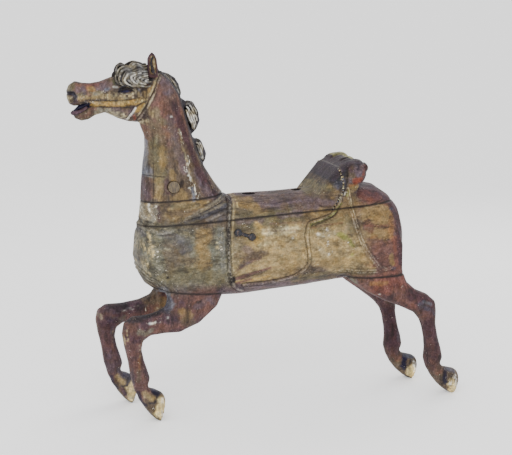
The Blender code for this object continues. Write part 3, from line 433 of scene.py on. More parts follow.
        ("charcoal", 24, 0.95, 142, 829, 181, 859, 227, 875),
        ("charcoal", 24, 0.92, 182, 821, 221, 834, 242, 842), ("slate", 12, 0.8, 225, 790, 249, 801),
        ("plum", 9, 0.8, 220, 893, 257, 880), ("plum", 8, 0.8, 270, 862, 279, 841),
        ("mauve", 14, 0.9, 301, 837, 319, 849), ("rust", 7, 0.9, 293, 799, 317, 806),
        ("ochre", 6, 0.85, 271, 778, 296, 782), ("straw", 4, 0.8, 296, 775, 308, 784),
        ("mauve", 5, 0.8, 274, 812, 277, 800), ("soot", 3.5, 0.95, 273, 867, 307, 865, 335, 864, 343, 856),
        ("wine", 5, 0.95, 342, 854, 338, 829, 334, 810), ("soot", 3, 0.9, 267, 859, 266, 832, 264, 803, 258, 785),
        ("soot", 3, 0.85, 253, 771, 247, 748, 230, 725, 213, 714), ("bone", 1.6, 0.85, 245, 857, 242, 842),
        ("bone", 1.6, 0.8, 248, 822, 243, 813), ("chalk", 1.6, 0.85, 258, 765, 255, 757),
        ("chalk", 1.6, 0.85, 238, 719, 234, 711), ("moss", 3, 0.9, 269, 771, 263, 747, 251, 723),
        ("bone", 2, 0.6, 197, 792, 212, 790), ("bone", 1.6, 0.6, 167, 781, 176, 783),
        ("charcoal", 26, 0.92, 100, 799, 124, 824, 154, 855), ("charcoal", 22, 0.9, 154, 837, 185, 836, 215, 858),
        ("charcoal", 16, 0.8, 185, 810, 215, 814), ("umber", 9, 0.6, 173, 796, 197, 803),
        ("slate", 9, 0.6, 154, 823, 172, 836), ("straw", 2.5, 0.7, 205, 789),
        ("bone", 2, 0.7, 167, 761, 179, 769), ("chalk", 1.6, 0.8, 243, 853), ("rust", 6, 0.9, 295, 800, 317, 807),
        ("wine", 5, 0.9, 342, 853, 338, 829, 332, 809), ("charcoal", 18, 0.6, 130, 809, 155, 788),
        ("charcoal", 9, 0.8, 237, 799, 256, 783), ("soot", 2.6, 0.9, 279, 873, 307, 870, 331, 866, 343, 858),
    )),
    # cantle edge again
    ("B", (
        ("moss", 3, 0.85, 244, 726, 226, 700, 193, 680, 149, 665, 131, 660),
        ("soot", 2.4, 0.85, 244, 716, 227, 691, 192, 672, 149, 657),
        ("bone", 1.6, 0.7, 277, 741, 284, 717, 290, 696),
    )),
    # collar again
    ("B", (
        ("stone", 12, 0.8, -447, 734, -409, 719), ("umber", 12, 0.7, -375, 717, -323, 719, -263, 716),
        ("olive", 9, 0.6, -345, 742, -258, 742), ("slate", 9, 0.75, -262, 701, -207, 716, -163, 734),
        # The faint steel stroke over the collar folds is a painted highlight.
        ("steel", 8, 0.35, -233, 727, -180, 751, -148, 771),
        ("charcoal", 3, 0.6, -259, 696, -215, 709, -164, 719),
        ("charcoal", 2.5, 0.55, -232, 738, -189, 758, -154, 779),
        ("charcoal", 2.5, 0.55, -241, 714, -189, 737, -150, 756),
        ("bone", 1.6, 0.6, -250, 720, -198, 743, -159, 763), ("soot", 3, 0.9, -471, 712, -444, 690, -397, 681),
        ("steel", 7, 0.5, -472, 676, -464, 637, -477, 569), ("charcoal", 5, 0.6, -462, 669, -454, 611, -459, 551),
        ("slate", 12, 0.45, -389, 654, -346, 639, -303, 628), ("steel", 9, 0.6, -189, 656, -185, 587, -181, 516),
        ("bone", 1.8, 0.7, -381, 602, -364, 597),
        ("soot", 2.2, 0.9, -130, 781, -145, 723, -160, 655, -163, 585, -156, 506, -144, 459),
        ("bone", 1.9, 0.6, -120, 772, -135, 714, -148, 652, -151, 585, -144, 510),
        ("umber", 10, 0.8, -117, 530, -84, 561, -30, 569), ("umber", 8, 0.7, -110, 494, -48, 499),
        ("chestnut", 3, 0.85, -128, 485, -66, 502, -14, 513), ("chestnut", 3, 0.8, -126, 465, -78, 476),
        ("soot", 5, 0.97, -140, 475), ("soot", 2.5, 0.8, 129, 540), ("soot", 3, 0.7, -368, 500),
    )),
    # chest and flap again
    ("B", (
        ("umber", 3, 0.6, -456, 747, -455, 712), ("umber", 3, 0.6, -430, 755, -427, 708),
        ("umber", 3, 0.6, -409, 749, -407, 707), ("chalk", 2.6, 0.9, -442, 745, -441, 717),
        ("chalk", 2.4, 0.9, -420, 747, -419, 720), ("chalk", 2.4, 0.8, -398, 739, -397, 719),
        ("slate", 9, 0.5, -303, 690, -233, 711, -163, 735),
        ("charcoal", 1.9, 0.7, -320, 684, -233, 709, -153, 734),
        ("charcoal", 1.9, 0.7, -303, 699, -224, 721, -149, 749),
        ("charcoal", 1.9, 0.7, -285, 708, -216, 734, -147, 763),
        ("charcoal", 1.9, 0.6, -259, 724, -198, 750, -150, 775),
        ("stone", 1.8, 0.7, -311, 692, -229, 715, -151, 742),
        ("stone", 1.8, 0.7, -292, 703, -220, 727, -148, 756),
        ("stone", 1.8, 0.6, -268, 716, -207, 742, -148, 769), ("bone", 8.5, 0.7, -465, 680, -464, 637, -458, 603),
        ("cream", 6, 0.7, -428, 648, -426, 610, -430, 575), ("bone", 4, 0.8, -447, 551, -437, 516),
        ("stone", 9, 0.6, -435, 668, -406, 658), ("sage", 9, 0.6, -190, 657, -186, 587, -182, 517),
        ("bone", 2.4, 0.8, -201, 623, -197, 583), ("umber", 12, 0.8, -118, 529, -84, 558, -44, 570),
        ("plum", 5, 0.6, -129, 515, -84, 542, -48, 551), ("umber", 7, 0.8, -127, 491, -75, 496, -30, 507),
        ("chestnut", 3.2, 0.9, -132, 482, -66, 501, -12, 515), ("straw", 2.4, 0.8, -129, 496, -66, 513, -20, 526),
        ("chestnut", 3, 0.85, -129, 464, -77, 475),
        ("soot", 3.2, 0.97, -131, 781, -147, 723, -162, 655, -165, 586, -157, 507, -146, 460),
        ("straw", 2.2, 0.7, -119, 772, -133, 714, -147, 653, -150, 585, -143, 510), ("soot", 6, 0.97, -140, 476),
    )),
    # hooves again
    ("L", (
        ("cream", 10, 0.5, 683, 40, 690, 14), ("cream", 10, 0.5, -407, 60, -413, 32),
    )),
    ("R", (
        ("cream", 9, 0.5, 606, 46, 608, 28), ("cream", 9, 0.4, -478, 60, -474, 34),
    )),
)


class Sizes(bpy.types.PropertyGroup):
    """Sizes of the carving."""

    body_grain: bpy.props.FloatProperty(
        name="Body carving step", description="Spacing of the points that carry the body's carving",
        default=0.0042, min=0.002, unit="LENGTH")
    head_grain: bpy.props.FloatProperty(
        name="Head carving step", description="Spacing of the points that carry the head's carving",
        default=0.0031, min=0.002, unit="LENGTH")
    seam_depth: bpy.props.FloatProperty(
        name="Seam depth", description="Depth of the open seams between the blocks, in millimetres",
        default=2.6, min=0.0)
    tool_marks: bpy.props.FloatProperty(
        name="Tool marks", description="Unevenness that the carver's tools left, in millimetres",
        default=1.2, min=0.0)


class Finishes(bpy.types.PropertyGroup):
    """Colours of the ground coat, which also gives the painted highlights on raised edges, the dirt, which also
    gives the painted shade in the hollows, and the iron.
    """

    # The ground coat also shows as the painted highlight on raised edges.
    ground_coat_and_highlight: bpy.props.FloatVectorProperty(
        name="Ground coat", description="Pale coat that shows where the paint has flaked",
        default=(0.66, 0.60, 0.48), size=3, subtype="COLOR")
    # The dirt colour also paints the shade in the hollows, grooves and cracks.
    dirt_and_shade: bpy.props.FloatVectorProperty(
        name="Dirt", description="Dirt that has settled in the hollows",
        default=(0.017, 0.014, 0.014), size=3, subtype="COLOR")
    iron: bpy.props.FloatVectorProperty(
        name="Iron", description="Blackened iron of the hooks",
        default=(0.030, 0.030, 0.036), size=3, subtype="COLOR")


class Studio(bpy.types.PropertyGroup):
    """Floor and light."""

    floor: bpy.props.FloatVectorProperty(
        name="Floor", description="Colour of the pale floor", default=(0.93, 0.93, 0.93), size=3, subtype="COLOR")
    glow: bpy.props.FloatProperty(
        name="Floor glow", description="How much the pale floor lights up of itself", default=0.35, min=0.0)
    daylight: bpy.props.FloatProperty(
        name="Daylight", description="Strength of the light from all round", default=1.4, min=0.0)
    lamp: bpy.props.FloatProperty(
        name="Lamp", description="Power of the large soft lamp", default=84.0, min=0.0, unit="POWER")


# Lines in side view


def pairs(flat):
    """Places from their numbers one after another."""
    return list(zip(flat[::2], flat[1::2]))


def smooth_path(points, steps=6):
    """Points of a smooth line through a few given ones."""
    given = np.array(points, float)
    if len(given) < 2:
        return np.vstack([given, given + 0.1])
    given = np.vstack([2 * given[0] - given[1], given, 2 * given[-1] - given[-2]])
    share = np.linspace(0, 1, steps, endpoint=False)[:, None]
    parts = []
    for before, start, end, after in zip(given, given[1:], given[2:], given[3:]):
        parts.append(0.5 * (
            2 * start + (end - before) * share + (2 * before - 5 * start + 4 * end - after) * share ** 2
            + (3 * start - before - 3 * end + after) * share ** 3
        ))
    return np.vstack([*parts, given[-2]])


def beside(places, path, reach):
    """Distance of each place from a path, and the side of it, out to a reach."""
    apart = np.full(len(places), float(reach))
    hand = np.zeros(len(places))
    inside = np.flatnonzero(np.all((places > path.min(0) - reach) & (places < path.max(0) + reach), axis=1))
    here = places[inside]
    best = np.full(len(here), float(reach))
    turned = np.zeros(len(here))
    for start, end in zip(path, path[1:]):
        way = end - start
        share = np.clip((here - start) @ way / math.hypot(*way) ** 2, 0, 1)
        off = here - start - share[:, None] * way
        distance = np.hypot(off[:, 0], off[:, 1])
        closer = distance < best
        best[closer] = distance[closer]
        turned[closer] = np.sign(way[0] * off[closer, 1] - way[1] * off[closer, 0])
    apart[inside] = best
    hand[inside] = turned
    return apart, hand


def ease(value, low, high):
    """Smooth step from 0 at low to 1 at high."""
    share = np.clip((value - low) / (high - low), 0, 1)
    return share * share * (3 - 2 * share)


def cloud(points, size, seed):
    """Smooth chance values from -1 to 1 over points, with lumps of about a size."""
    lattice = np.random.default_rng(seed).uniform(-1, 1, (32, 32, 32))
    spots = points / size
    corner = np.floor(spots).astype(int)
    share = spots - corner
    share = share * share * (3 - 2 * share)
    total = np.zeros(len(points))
    for dx in (0, 1):
        for dy in (0, 1):
            for dz in (0, 1):
                value = lattice[(corner[:, 0] + dx) % 32, (corner[:, 1] + dy) % 32, (corner[:, 2] + dz) % 32]
                weight = np.abs(1 - dx - share[:, 0]) * np.abs(1 - dy - share[:, 1]) * np.abs(1 - dz - share[:, 2])
                total += value * weight
    return total


# Places where the paint flakes most: strength, half width, path
FLAKED = (
    (0.85, 22, ((-440, 716), (-400, 712))), (0.7, 24, ((-420, 650), (-395, 560), (-400, 480))),
    (0.8, 8, ((-310, 990), (-300, 930), (-285, 860), (-270, 780))),
    (0.9, 13, ((-292, 900), (-278, 830), (-265, 780))), (0.7, 14, ((-190, 640), (-180, 520))),
    (0.75, 18, ((180, 626), (200, 560))), (0.7, 14, ((270, 600), (300, 570))),
    (0.7, 20, ((-100, 700), (-80, 620))), (0.7, 22, ((-660, 1100), (-560, 1110))),
    (0.6, 20, ((-470, 330), (-430, 350))), (0.9, 20, ((-420, 60), (-400, 30))),
    (0.9, 20, ((680, 60), (690, 20))),
)

# Carved lines in side view: kind, half width, height, darkness of the groove on each hand (dirt and
# painted shade), lightness of the top (wear and painted highlight), path
CARVED = (
    ("bead", 6.5, 3.0, 0.95, 0.75, 0.45, ((-139, 792), (-140, 766), (-144, 731), (-155, 692), (-163, 613),
                                         (-159, 523), (-145, 469), (-127, 445), (-100, 428))),
    ("band", 5.5, 2.4, 0.9, 0.75, 0.25, ((246, 775), (244, 758), (238, 728), (215, 693), (173, 677), (136, 666),
                                        (122, 648), (117, 617), (123, 576), (128, 540), (123, 513), (100, 491),
                                        (63, 471), (-11, 458), (-103, 455))),
    ("pair", 8, 2.2, 0.4, 0.5, 0.35, ((266, 778), (272, 750), (285, 703), (300, 643), (329, 573), (384, 496),
                                     (400, 488))),
    ("pair", 7, 1.5, 0.4, 0.5, 0.3, ((250, 486), (317, 480), (384, 482), (432, 489))),
    ("pair", 7, 2.4, 0.6, 0.6, 0.35, ((-480, 546), (-466, 526), (-449, 512), (-432, 494), (-415, 484), (-392, 466),
                                     (-370, 452))),
    ("fold", 8, 1.8, 0.35, 0.5, 0.1, ((-158, 750), (-206, 740), (-259, 718), (-310, 698))),
    ("fold", 7, 1.8, 0.35, 0.55, 0.1, ((-160, 732), (-200, 722), (-240, 704), (-280, 690))),
    ("fold", 6, 1.6, 0.4, 0.6, 0.1, ((-163, 714), (-190, 706), (-214, 696), (-236, 690))),
    ("fold", 7, 1.2, 0.2, 0.4, 0.1, ((-250, 740), (-290, 728), (-330, 706), (-350, 694))),
    ("fold", 8, 2.4, 0.5, 0.7, 0.2, ((-452, 672), (-425, 660), (-385, 654), (-340, 660))),
    ("fold", 7, 1.6, 0.3, 0.5, 0.1, ((-440, 652), (-415, 640), (-380, 638), (-350, 644))),
    ("band", 9, 1.6, 0.35, 0.75, 0.2, ((-614, 1090), (-590, 1089), (-535, 1087), (-500, 1089), (-460, 1092),
                                      (-442, 1095))),
    ("band", 5, 1.6, 0.5, 0.4, 0.25, ((-370, 1168), (-381, 1150), (-388, 1130), (-397, 1108), (-408, 1086),
                                     (-420, 1066), (-434, 1046), (-446, 1028))),
)

# Beaded back edge of the saddle, from the top of the cantle down to the strap
CANTLE_EDGE = (
    (222, 872), (231, 862), (238, 846), (243, 825), (250, 805), (251, 788), (248, 770), (241, 752),
    (231, 735), (222, 718), (212, 700),
)

# Cracks and open joins: half width, depth, path
CRACKS = (
    (3.0, 1.6, ((-446, 840), (-418, 841), (-367, 837))),
    (2.5, 1.2, ((-402, 884), (-404, 796), (-407, 752))),
    (3.0, 1.6, ((-215, 818), (-205, 800), (-198, 772))),
    (3.0, 1.5, ((294, 712), (361, 716), (413, 728))),
    (3.5, 2.0, ((-500, 433), (-440, 428), (-385, 428))),
    (4.5, 2.4, ((-683, 1119), (-672, 1125), (-661, 1124), (-654, 1115), (-660, 1103))),
    (2.5, 1.2, ((-640, 1094), (-625, 1090), (-612, 1086))),
    (2.2, 1.4, ((-424, 1097), (-427, 1103), (-433, 1106), (-439, 1103), (-442, 1097), (-439, 1091),
                (-433, 1088), (-427, 1091), (-424, 1097))),
    (4.0, 2.5, ((-460, 713), (-449, 692), (-432, 667))),
    (4.0, 3.0, ((-145, 480), (-143, 476))),
)


def carving(places):
    """Height, hollow (dirt and painted shade) and edge (wear and painted highlight) of the lines carved at places
    in side view, in millimetres.
    """
    height = np.zeros(len(places))
    hollow = np.zeros(len(places))
    edge = np.zeros(len(places))
    for kind, half, rise, first, second, light, points in CARVED:
        apart, hand = beside(places, smooth_path(points), half * 2.4)
        dark = np.where(hand < 0, first, second)
        if kind == "pair":
            off = np.abs(apart - half * 0.55)
            ridges = 1 - ease(off, half * 0.15, half * 0.5)
            height += rise * ridges - rise * 0.5 * (1 - ease(apart, 0, half * 0.4))
            edge = np.maximum(edge, light * (1 - ease(off, half * 0.1, half * 0.4)))
            hollow = np.maximum(hollow, 0.4 * (1 - ease(apart, 0, half * 0.35)))
            rim = 1 - ease(np.abs(apart - half * 1.3), half * 0.1, half * 0.45)
        else:
            top = 1 - ease(apart, half * (0.2 if kind != "band" else 0.62), half)
            height += rise * top
            rim = 1 - ease(np.abs(apart - half - 1.6), 0.6, 2.6)
            edge = np.maximum(edge, light * (1 - ease(apart, 0, half * 0.8)))
        height -= rise * 0.7 * rim * (0.4 + 0.6 * dark)
        hollow = np.maximum(hollow, dark * rim)
    for half, depth, points in CRACKS:
        apart, _ = beside(places, smooth_path(points), half * 2)
        gap = 1 - ease(apart, 0, half)
        height -= depth * gap
        hollow = np.maximum(hollow, gap)
    return height, hollow, edge


def seams(places, across):
    """How near each place is to an open seam, from 0 to 1 in its middle."""
    near = np.zeros(len(places))
    for (x0, z0), (x1, z1), low, high, keel in (
        (*NECK_SEAM, -600, -140, False), (*BODY_SEAM, -600, 600, False),
        (*FRONT_LEG_SEAM, -600, -163, True), (*REAR_LEG_SEAM, 252, 700, True),
    ):
        slope = (z1 - z0) / (x1 - x0)
        apart = np.abs(places[:, 1] - z0 - slope * (places[:, 0] - x0))
        gap = 1 - ease(apart, 1.2, 5.6)
        gap *= (places[:, 0] > low) & (places[:, 0] < high)
        if keel:
            gap *= across > 1000 * KEEL_HALF
        near = np.maximum(near, gap)
    return near


# Skins in numbers


def select_only(*pieces):
    """Select these pieces alone, the first one active."""
    bpy.ops.object.select_all(action="DESELECT")
    for piece in pieces:
        piece.select_set(True)
    bpy.context.view_layer.objects.active = pieces[0]


def points_of(piece):
    """Corner points of a piece, in metres."""
    flat = np.empty(len(piece.data.vertices) * 3)
    piece.data.vertices.foreach_get("co", flat)
    return flat.reshape(-1, 3)


def normals_of(piece):
    """Way that each point of a piece faces."""
    flat = np.empty(len(piece.data.vertices) * 3)
    piece.data.vertex_normals.foreach_get("vector", flat)
    return flat.reshape(-1, 3)


def set_points(piece, points):
    """Move the points of a piece."""
    piece.data.vertices.foreach_set("co", points.ravel())
    piece.data.update()


def drawn(points):
    """Side view places in millimetres, distance from the middle, and side, of points in metres."""
    places = np.column_stack([points[:, 0] + GRID_SHIFT, points[:, 2]]) * 1000
    return places, np.abs(points[:, 1]) * 1000, np.where(points[:, 1] < 0, LEFT, RIGHT)


def merged_copy(nodes, name):
    """One piece from copies of CAD nodes, with their loose corners merged."""
    copies = []
    for node in nodes:
        source = bpy.data.objects[node]
        made = bpy.data.objects.new(name, source.data.copy())
        made.data.materials.clear()
        bpy.context.scene.collection.objects.link(made)
        copies.append(made)
    select_only(*copies)
    bpy.ops.object.mode_set(mode="EDIT")
    bpy.ops.mesh.select_all(action="SELECT")
    bpy.ops.mesh.remove_doubles(threshold=1e-6)
    bpy.ops.object.mode_set(mode="OBJECT")
    if len(copies) > 1:
        bpy.ops.object.join()
    whole = bpy.context.view_layer.objects.active
    whole.name = name
    return whole


def apply(piece, kind, **settings):
    """Add a modifier to a piece and apply it."""
    modifier = piece.modifiers.new(kind.title(), kind)
    for key, value in settings.items():
        setattr(modifier, key, value)
    select_only(piece)
    bpy.ops.object.modifier_apply(modifier=modifier.name)


def remeshed(piece, step):
    """One closed skin over a piece, with points a step apart, and its specks removed."""
    apply(piece, "REMESH", mode="VOXEL", voxel_size=step, adaptivity=0.0, use_smooth_shade=True)
    select_only(piece)
    bpy.ops.object.mode_set(mode="EDIT")
    bpy.ops.mesh.select_all(action="DESELECT")
    bpy.ops.object.mode_set(mode="OBJECT")
    count = len(piece.data.vertices)
    ends = np.empty(len(piece.data.edges) * 2, int)
    piece.data.edges.foreach_get("vertices", ends)
    ends = ends.reshape(-1, 2)
    group = np.arange(count)
    while True:
        lowest = np.minimum(group[ends[:, 0]], group[ends[:, 1]])
        before = group.copy()
        np.minimum.at(group, ends[:, 0], lowest)
        np.minimum.at(group, ends[:, 1], lowest)
        group = group[group]
        if np.array_equal(before, group):
            break
    names, sizes = np.unique(group, return_counts=True)
    keep = names[sizes.argmax()]
    if len(names) > 1:
        piece.data.vertices.foreach_set("select", group != keep)
        bpy.ops.object.mode_set(mode="EDIT")
        bpy.ops.mesh.select_mode(type="VERT")
        bpy.ops.mesh.delete(type="VERT")
        bpy.ops.object.mode_set(mode="OBJECT")
    return piece


def relax(piece, weights, rounds):
    """Smooth a skin by a weight at each point, without making it thinner."""
    points = points_of(piece)
    ends = np.empty(len(piece.data.edges) * 2, int)
    piece.data.edges.foreach_get("vertices", ends)
    first, second = ends.reshape(-1, 2).T
    count = len(points)
    neighbours = np.bincount(first, minlength=count) + np.bincount(second, minlength=count)
    for number in range(rounds * 2):
        pull = 0.55 if number % 2 == 0 else -0.565
        moved = np.empty_like(points)
        for axis in range(3):
            value = points[:, axis]
            total = np.bincount(first, value[second], count) + np.bincount(second, value[first], count)
            moved[:, axis] = total / neighbours - value
        points = points + pull * weights[:, None] * moved
    set_points(piece, points)


def box_over(name, corners, low_y, high_y):
    """Block across the horse over a four-cornered outline in side view, in metres."""
    bpy.ops.mesh.primitive_cube_add(size=2)
    block = bpy.context.object
    block.name = name
    for vertex in block.data.vertices:
        across, along, up = vertex.co
        index = {(-1, -1): 0, (1, -1): 1, (1, 1): 2, (-1, 1): 3}[(round(across), round(up))]
        x, z = corners[index]
        vertex.co = (x, low_y if along < 0 else high_y, z)
    return block


def above(seam, grow):
    """Block over everything above a seam and left of its right end, let out by a little."""
    (x0, z0), (x1, z1) = [(x / 1000 - GRID_SHIFT, z / 1000) for x, z in seam]
    corners = ((x0, z0 - grow), (x1 + grow, z1 - grow), (x1 + grow, 2.0), (x0, 2.0))
    return box_over("above", corners, -1.0, 1.0)


def under(seam, side, grow):
    """Block over the place of a leg under its seam and beside the keel, let out by a little."""
    (x0, z0), (x1, z1) = [(x / 1000 - GRID_SHIFT, z / 1000) for x, z in seam]
    corners = ((x0 - grow, -0.5), (x1 + grow, -0.5), (x1 + grow, z1 + grow), (x0 - grow, z0 + grow))
    inner = side * (KEEL_HALF - grow)
    return box_over("under", corners, min(inner, side), max(inner, side))


def cut(piece, tool, operation):
    """Cut a skin with a block, which is used up."""
    apply(piece, "BOOLEAN", object=tool, operation=operation, solver="MANIFOLD")
    bpy.data.objects.remove(tool)
    if not piece.data.vertices:
        raise RuntimeError(f"{piece.name} was cut away")


def copy_of(piece, name):
    """Separate copy of a piece with its own mesh."""
    made = bpy.data.objects.new(name, piece.data.copy())
    bpy.context.scene.collection.objects.link(made)
    return made


# Painting


def stroke(places, solid, path, half, seed):
    """Cover of one ragged brush stroke or patch at places."""
    ragged = half * 0.45
    apart, _ = beside(places, smooth_path(path, 4), half * 1.6 + ragged)
    cover = np.zeros(len(places))
    near = np.flatnonzero(apart < half * 1.6 + ragged)
    if len(near):
        torn = apart[near] + ragged * cloud(solid[near], max(half * 0.9, 7), seed)
        torn += 0.4 * ragged * cloud(solid[near], max(half * 0.3, 4), seed + 1)
        soft = max(half * 0.45, 4)
        cover[near] = 1 - ease(torn, half - soft, half + soft)
    return cover


def zones(points, faces):
    """Where on the horse each point lies, and its place in side view as if it were on the left leg."""
    places, _, side = drawn(points)
    x, z = places.T
    head = (z > 990) & (x < -300)
    cantle = (x > 130) & (z > 752) & (x < np.where(z > 795, 378, 345))
    front = x < -60
    share = np.where(front, 1 - ease(z, 365, 430), 1 - ease(z, 305, 430))
    reach = np.where(side == RIGHT, np.where(front, FRONT_REACH, REAR_REACH) * share, 0)
    swung = places - np.column_stack([reach, np.zeros(len(x))])
    low = 1 - ease(z, 440, 500)
    inner = (side == RIGHT) * ease(-faces[:, 1], -0.2, 0.2)
    body = 1 - ease(-z, -400, -380)
    return places, swung, {"B": body, "H": head * 1.0, "C": cantle * 1.0, "L": low, "R": inner * (z < 470)}


def brush(colour, cover, tint):
    """Lay a tint over the colours of points, by its cover at each."""
    colour += cover[:, None] * (tint - colour)


def strokes_in_turn():
    """Area, tint, half width, strength and path of each brush stroke."""
    return [(area, *row[:3], pairs(row[3:])) for area, rows in STROKES for row in rows]


def lay_paint(piece):
    """Give each point of a carved piece its paint, hollows with dirt and painted shade, edges with wear and
    painted highlights, and flaking.
    """
    points = points_of(piece)
    faces = normals_of(piece)
    places, swung, areas = zones(points, faces)
    solid = points * 1000
    across = np.abs(points[:, 1]) * 1000
    x, z = places.T
    colour = np.tile(TINTS["umber"], (len(points), 1))
    for seed, (area, tint, half, strength, path) in enumerate(strokes_in_turn()):
        where = swung if area == "L" else places
        cover = strength * areas[area] * stroke(where, solid, path, half, seed * 2)
        if tint in PALE and half >= (4 if area == "H" else 2):
            if half < 9:
                cover *= 0.8 * ease(cloud(solid, 7, seed + 700), -0.15, 0.45)
            elif area in "LR":
                cover *= ease(cloud(solid, 11, seed + 700), -0.75, -0.1)
        brush(colour, cover, TINTS[tint])
    for hole_x, reach in HOLES:
        deep = (np.hypot(x - hole_x, across) < reach) & (np.abs(faces[:, 2]) < 0.8)
        colour[deep] = TINTS["soot"]
    # Painted shade under the hair and down the crest: dark ground that shows between the locks
    heights, crests, _ = np.array(CREST).T
    crest = (1 - ease(np.interp(z, heights, crests) - x, 8, 16)) * (z > 840) * (z < 1200) * (x < -150)
    brush(colour, 0.9 * np.maximum(hair_cover(places) * (z > 1100), crest), TINTS["charcoal"] * 1.3)
    # Front slope of the cantle, and the tops of its lobes made paler where they face up, a painted highlight
    slope = ease(faces[:, 2] - faces[:, 0], 0.3, 0.6) * ease(x, 190, 215) * ease(z, 790, 820) * (x < 330)
    brush(colour, 0.9 * slope, TINTS["charcoal"] * 0.6 + TINTS["plum"] * 0.4)
    far = 26 * ease(points[:, 1] * 1000, 40, 48)
    top = ease(faces[:, 2], 0.35, 0.65) * ease(x, 296 - far, 304 - far) * ease(z, 795, 815) * (x < 358)
    top = top * (points[:, 1] > -LOBE_MIDDLE / 1000)
    brush(colour, 0.85 * top, TINTS["moss"] * 0.5 + TINTS["bone"] * 0.4)
    # Painted shade in the cleft between the lobes, on their back faces and along their top edges
    lobe = ease(x, 255, 275) * ease(z, 795, 815) * (x < 375)
    rim = np.maximum(1 - ease(np.abs(across - LOBE_MIDDLE), 3, 8), ease(faces[:, 0], 0.45, 0.75) * (across < 100))
    rim = np.maximum(rim, 1 - ease(np.abs(faces[:, 2] - 0.35), 0.05, 0.2))
    brush(colour, 0.9 * (lobe * rim * (across < 118)), TINTS["wine"] * 0.5)
    # Inside of the mouth, painted navy: painted shade
    mouth = 1 - ease(beside(places, smooth_path(((-668, 1071), (-640, 1076), (-612, 1083))), 14)[0], 8, 12)
    brush(colour, mouth * ease(np.abs(faces[:, 2]), 0.45, 0.7), TINTS["navy"])
    _, hollow, edge = carving(places)
    hollow = np.maximum(hollow, seams(places, across))
    flaking = 0.25 + 0.3 * cloud(solid, 60, 71)
    for strength, half, path in FLAKED:
        flaking = np.maximum(flaking, strength * stroke(places, solid, path, half, 900 + half))
    grimy = 0.35 + 0.35 * cloud(solid, 45, 72)
    keep_paint(piece, colour, np.column_stack([hollow, edge, flaking, grimy]))


def keep_paint(piece, colour, wear_and_shading=None):
    """Keep the colour, and the wear with the painted shade and highlights, of each point with its piece."""
    if wear_and_shading is None:
        wear_and_shading = np.zeros((len(colour), 4))
    for name, values in (("paint", np.column_stack([colour, np.ones(len(colour))])), ("wear_and_shading", wear_and_shading)):
        layer = piece.data.color_attributes.new(name, "FLOAT_COLOR", "POINT")
        layer.data.foreach_set("color", np.clip(values, 0, 1).astype(np.float32).ravel())


# Materials


class Wire:
    """One output in a material's nodes, which is worked with as a number is."""

    def __init__(self, recipe, socket):
        self.recipe = recipe
        self.socket = socket

    def __add__(self, other):
        return self.recipe.sum("ADD", self, other)

    def __sub__(self, other):
        return self.recipe.sum("SUBTRACT", self, other)

    def __mul__(self, other):
        return self.recipe.sum("MULTIPLY", self, other)

    def __rsub__(self, other):
        return self.recipe.sum("SUBTRACT", other, self)

    def __rpow__(self, other):
        return self.recipe.sum("POWER", other, self)

    __radd__ = __add__
    __rmul__ = __mul__


class Recipe:
    """Nodes of one material."""

    def __init__(self, name):
        self.material = bpy.data.materials.new(name)
        self.material.use_nodes = True
        self.tree = self.material.node_tree
        self.shader = self.tree.nodes["Principled BSDF"]

    def place(self):
        """Place on the piece, in metres."""
        return self.node("ShaderNodeTexCoord", output="Object")

    def node(self, kind, settings=None, sockets=None, output=0):
        """Output of a new node, with its settings made first and its sockets filled."""
        made = self.tree.nodes.new(kind)
        for key, value in (settings or {}).items():
            setattr(made, key, value)
        self.fill(made, sockets or {})
        return Wire(self, made.outputs[output])

    def fill(self, node, sockets):
        """Give sockets of a node their values or links."""
        for key, value in sockets.items():
            if isinstance(value, Wire):
                self.tree.links.new(value.socket, node.inputs[key])
            else:
                node.inputs[key].default_value = value

    def sum(self, operation, first, second):
        """Result of one step of arithmetic."""
        return self.node("ShaderNodeMath", {"operation": operation}, {0: first, 1: second})

    def step(self, value, low, high):
        """Smooth step of a value from 0 at low to 1 at high."""
        return self.node(
            "ShaderNodeMapRange", {"interpolation_type": "SMOOTHSTEP"},
            {"Value": value, "From Min": low, "From Max": high})

    def mix(self, share, under_coat, over_coat):
        """Colour between two others."""
        return self.node(
            "ShaderNodeMix", {"data_type": "RGBA"}, {"Factor": share, 6: under_coat, 7: over_coat}, 2)

    def scaled(self, colour, share):
        """Colour made lighter or darker by a share."""
        return self.node("ShaderNodeVectorMath", {"operation": "SCALE"}, {0: colour, "Scale": share})

    def tinted(self, colour, tint):
        """Colour multiplied by a tint."""
        return self.node("ShaderNodeVectorMath", {"operation": "MULTIPLY"}, {0: colour, 1: tint})

    def noise(self, place, scale, detail=3.0, rough=0.55):
        """Chance pattern at a scale."""
        return self.node(
            "ShaderNodeTexNoise", None,
            {"Vector": place, "Scale": scale, "Detail": detail, "Roughness": rough})

    def stretched(self, place, scale):
        """Place with its axes stretched."""
        return self.node("ShaderNodeMapping", None, {"Vector": place, "Scale": scale})

    def bump(self, height, distance, strength=1.0):
        """Normal of a raised pattern."""
        return self.node("ShaderNodeBump", None, {"Height": height, "Distance": distance, "Strength": strength})

    def done(self, **sockets):
        """Fill the shader and give the material."""
        self.fill(self.shader, {key.replace("_", " "): value for key, value in sockets.items()})
        return self.material


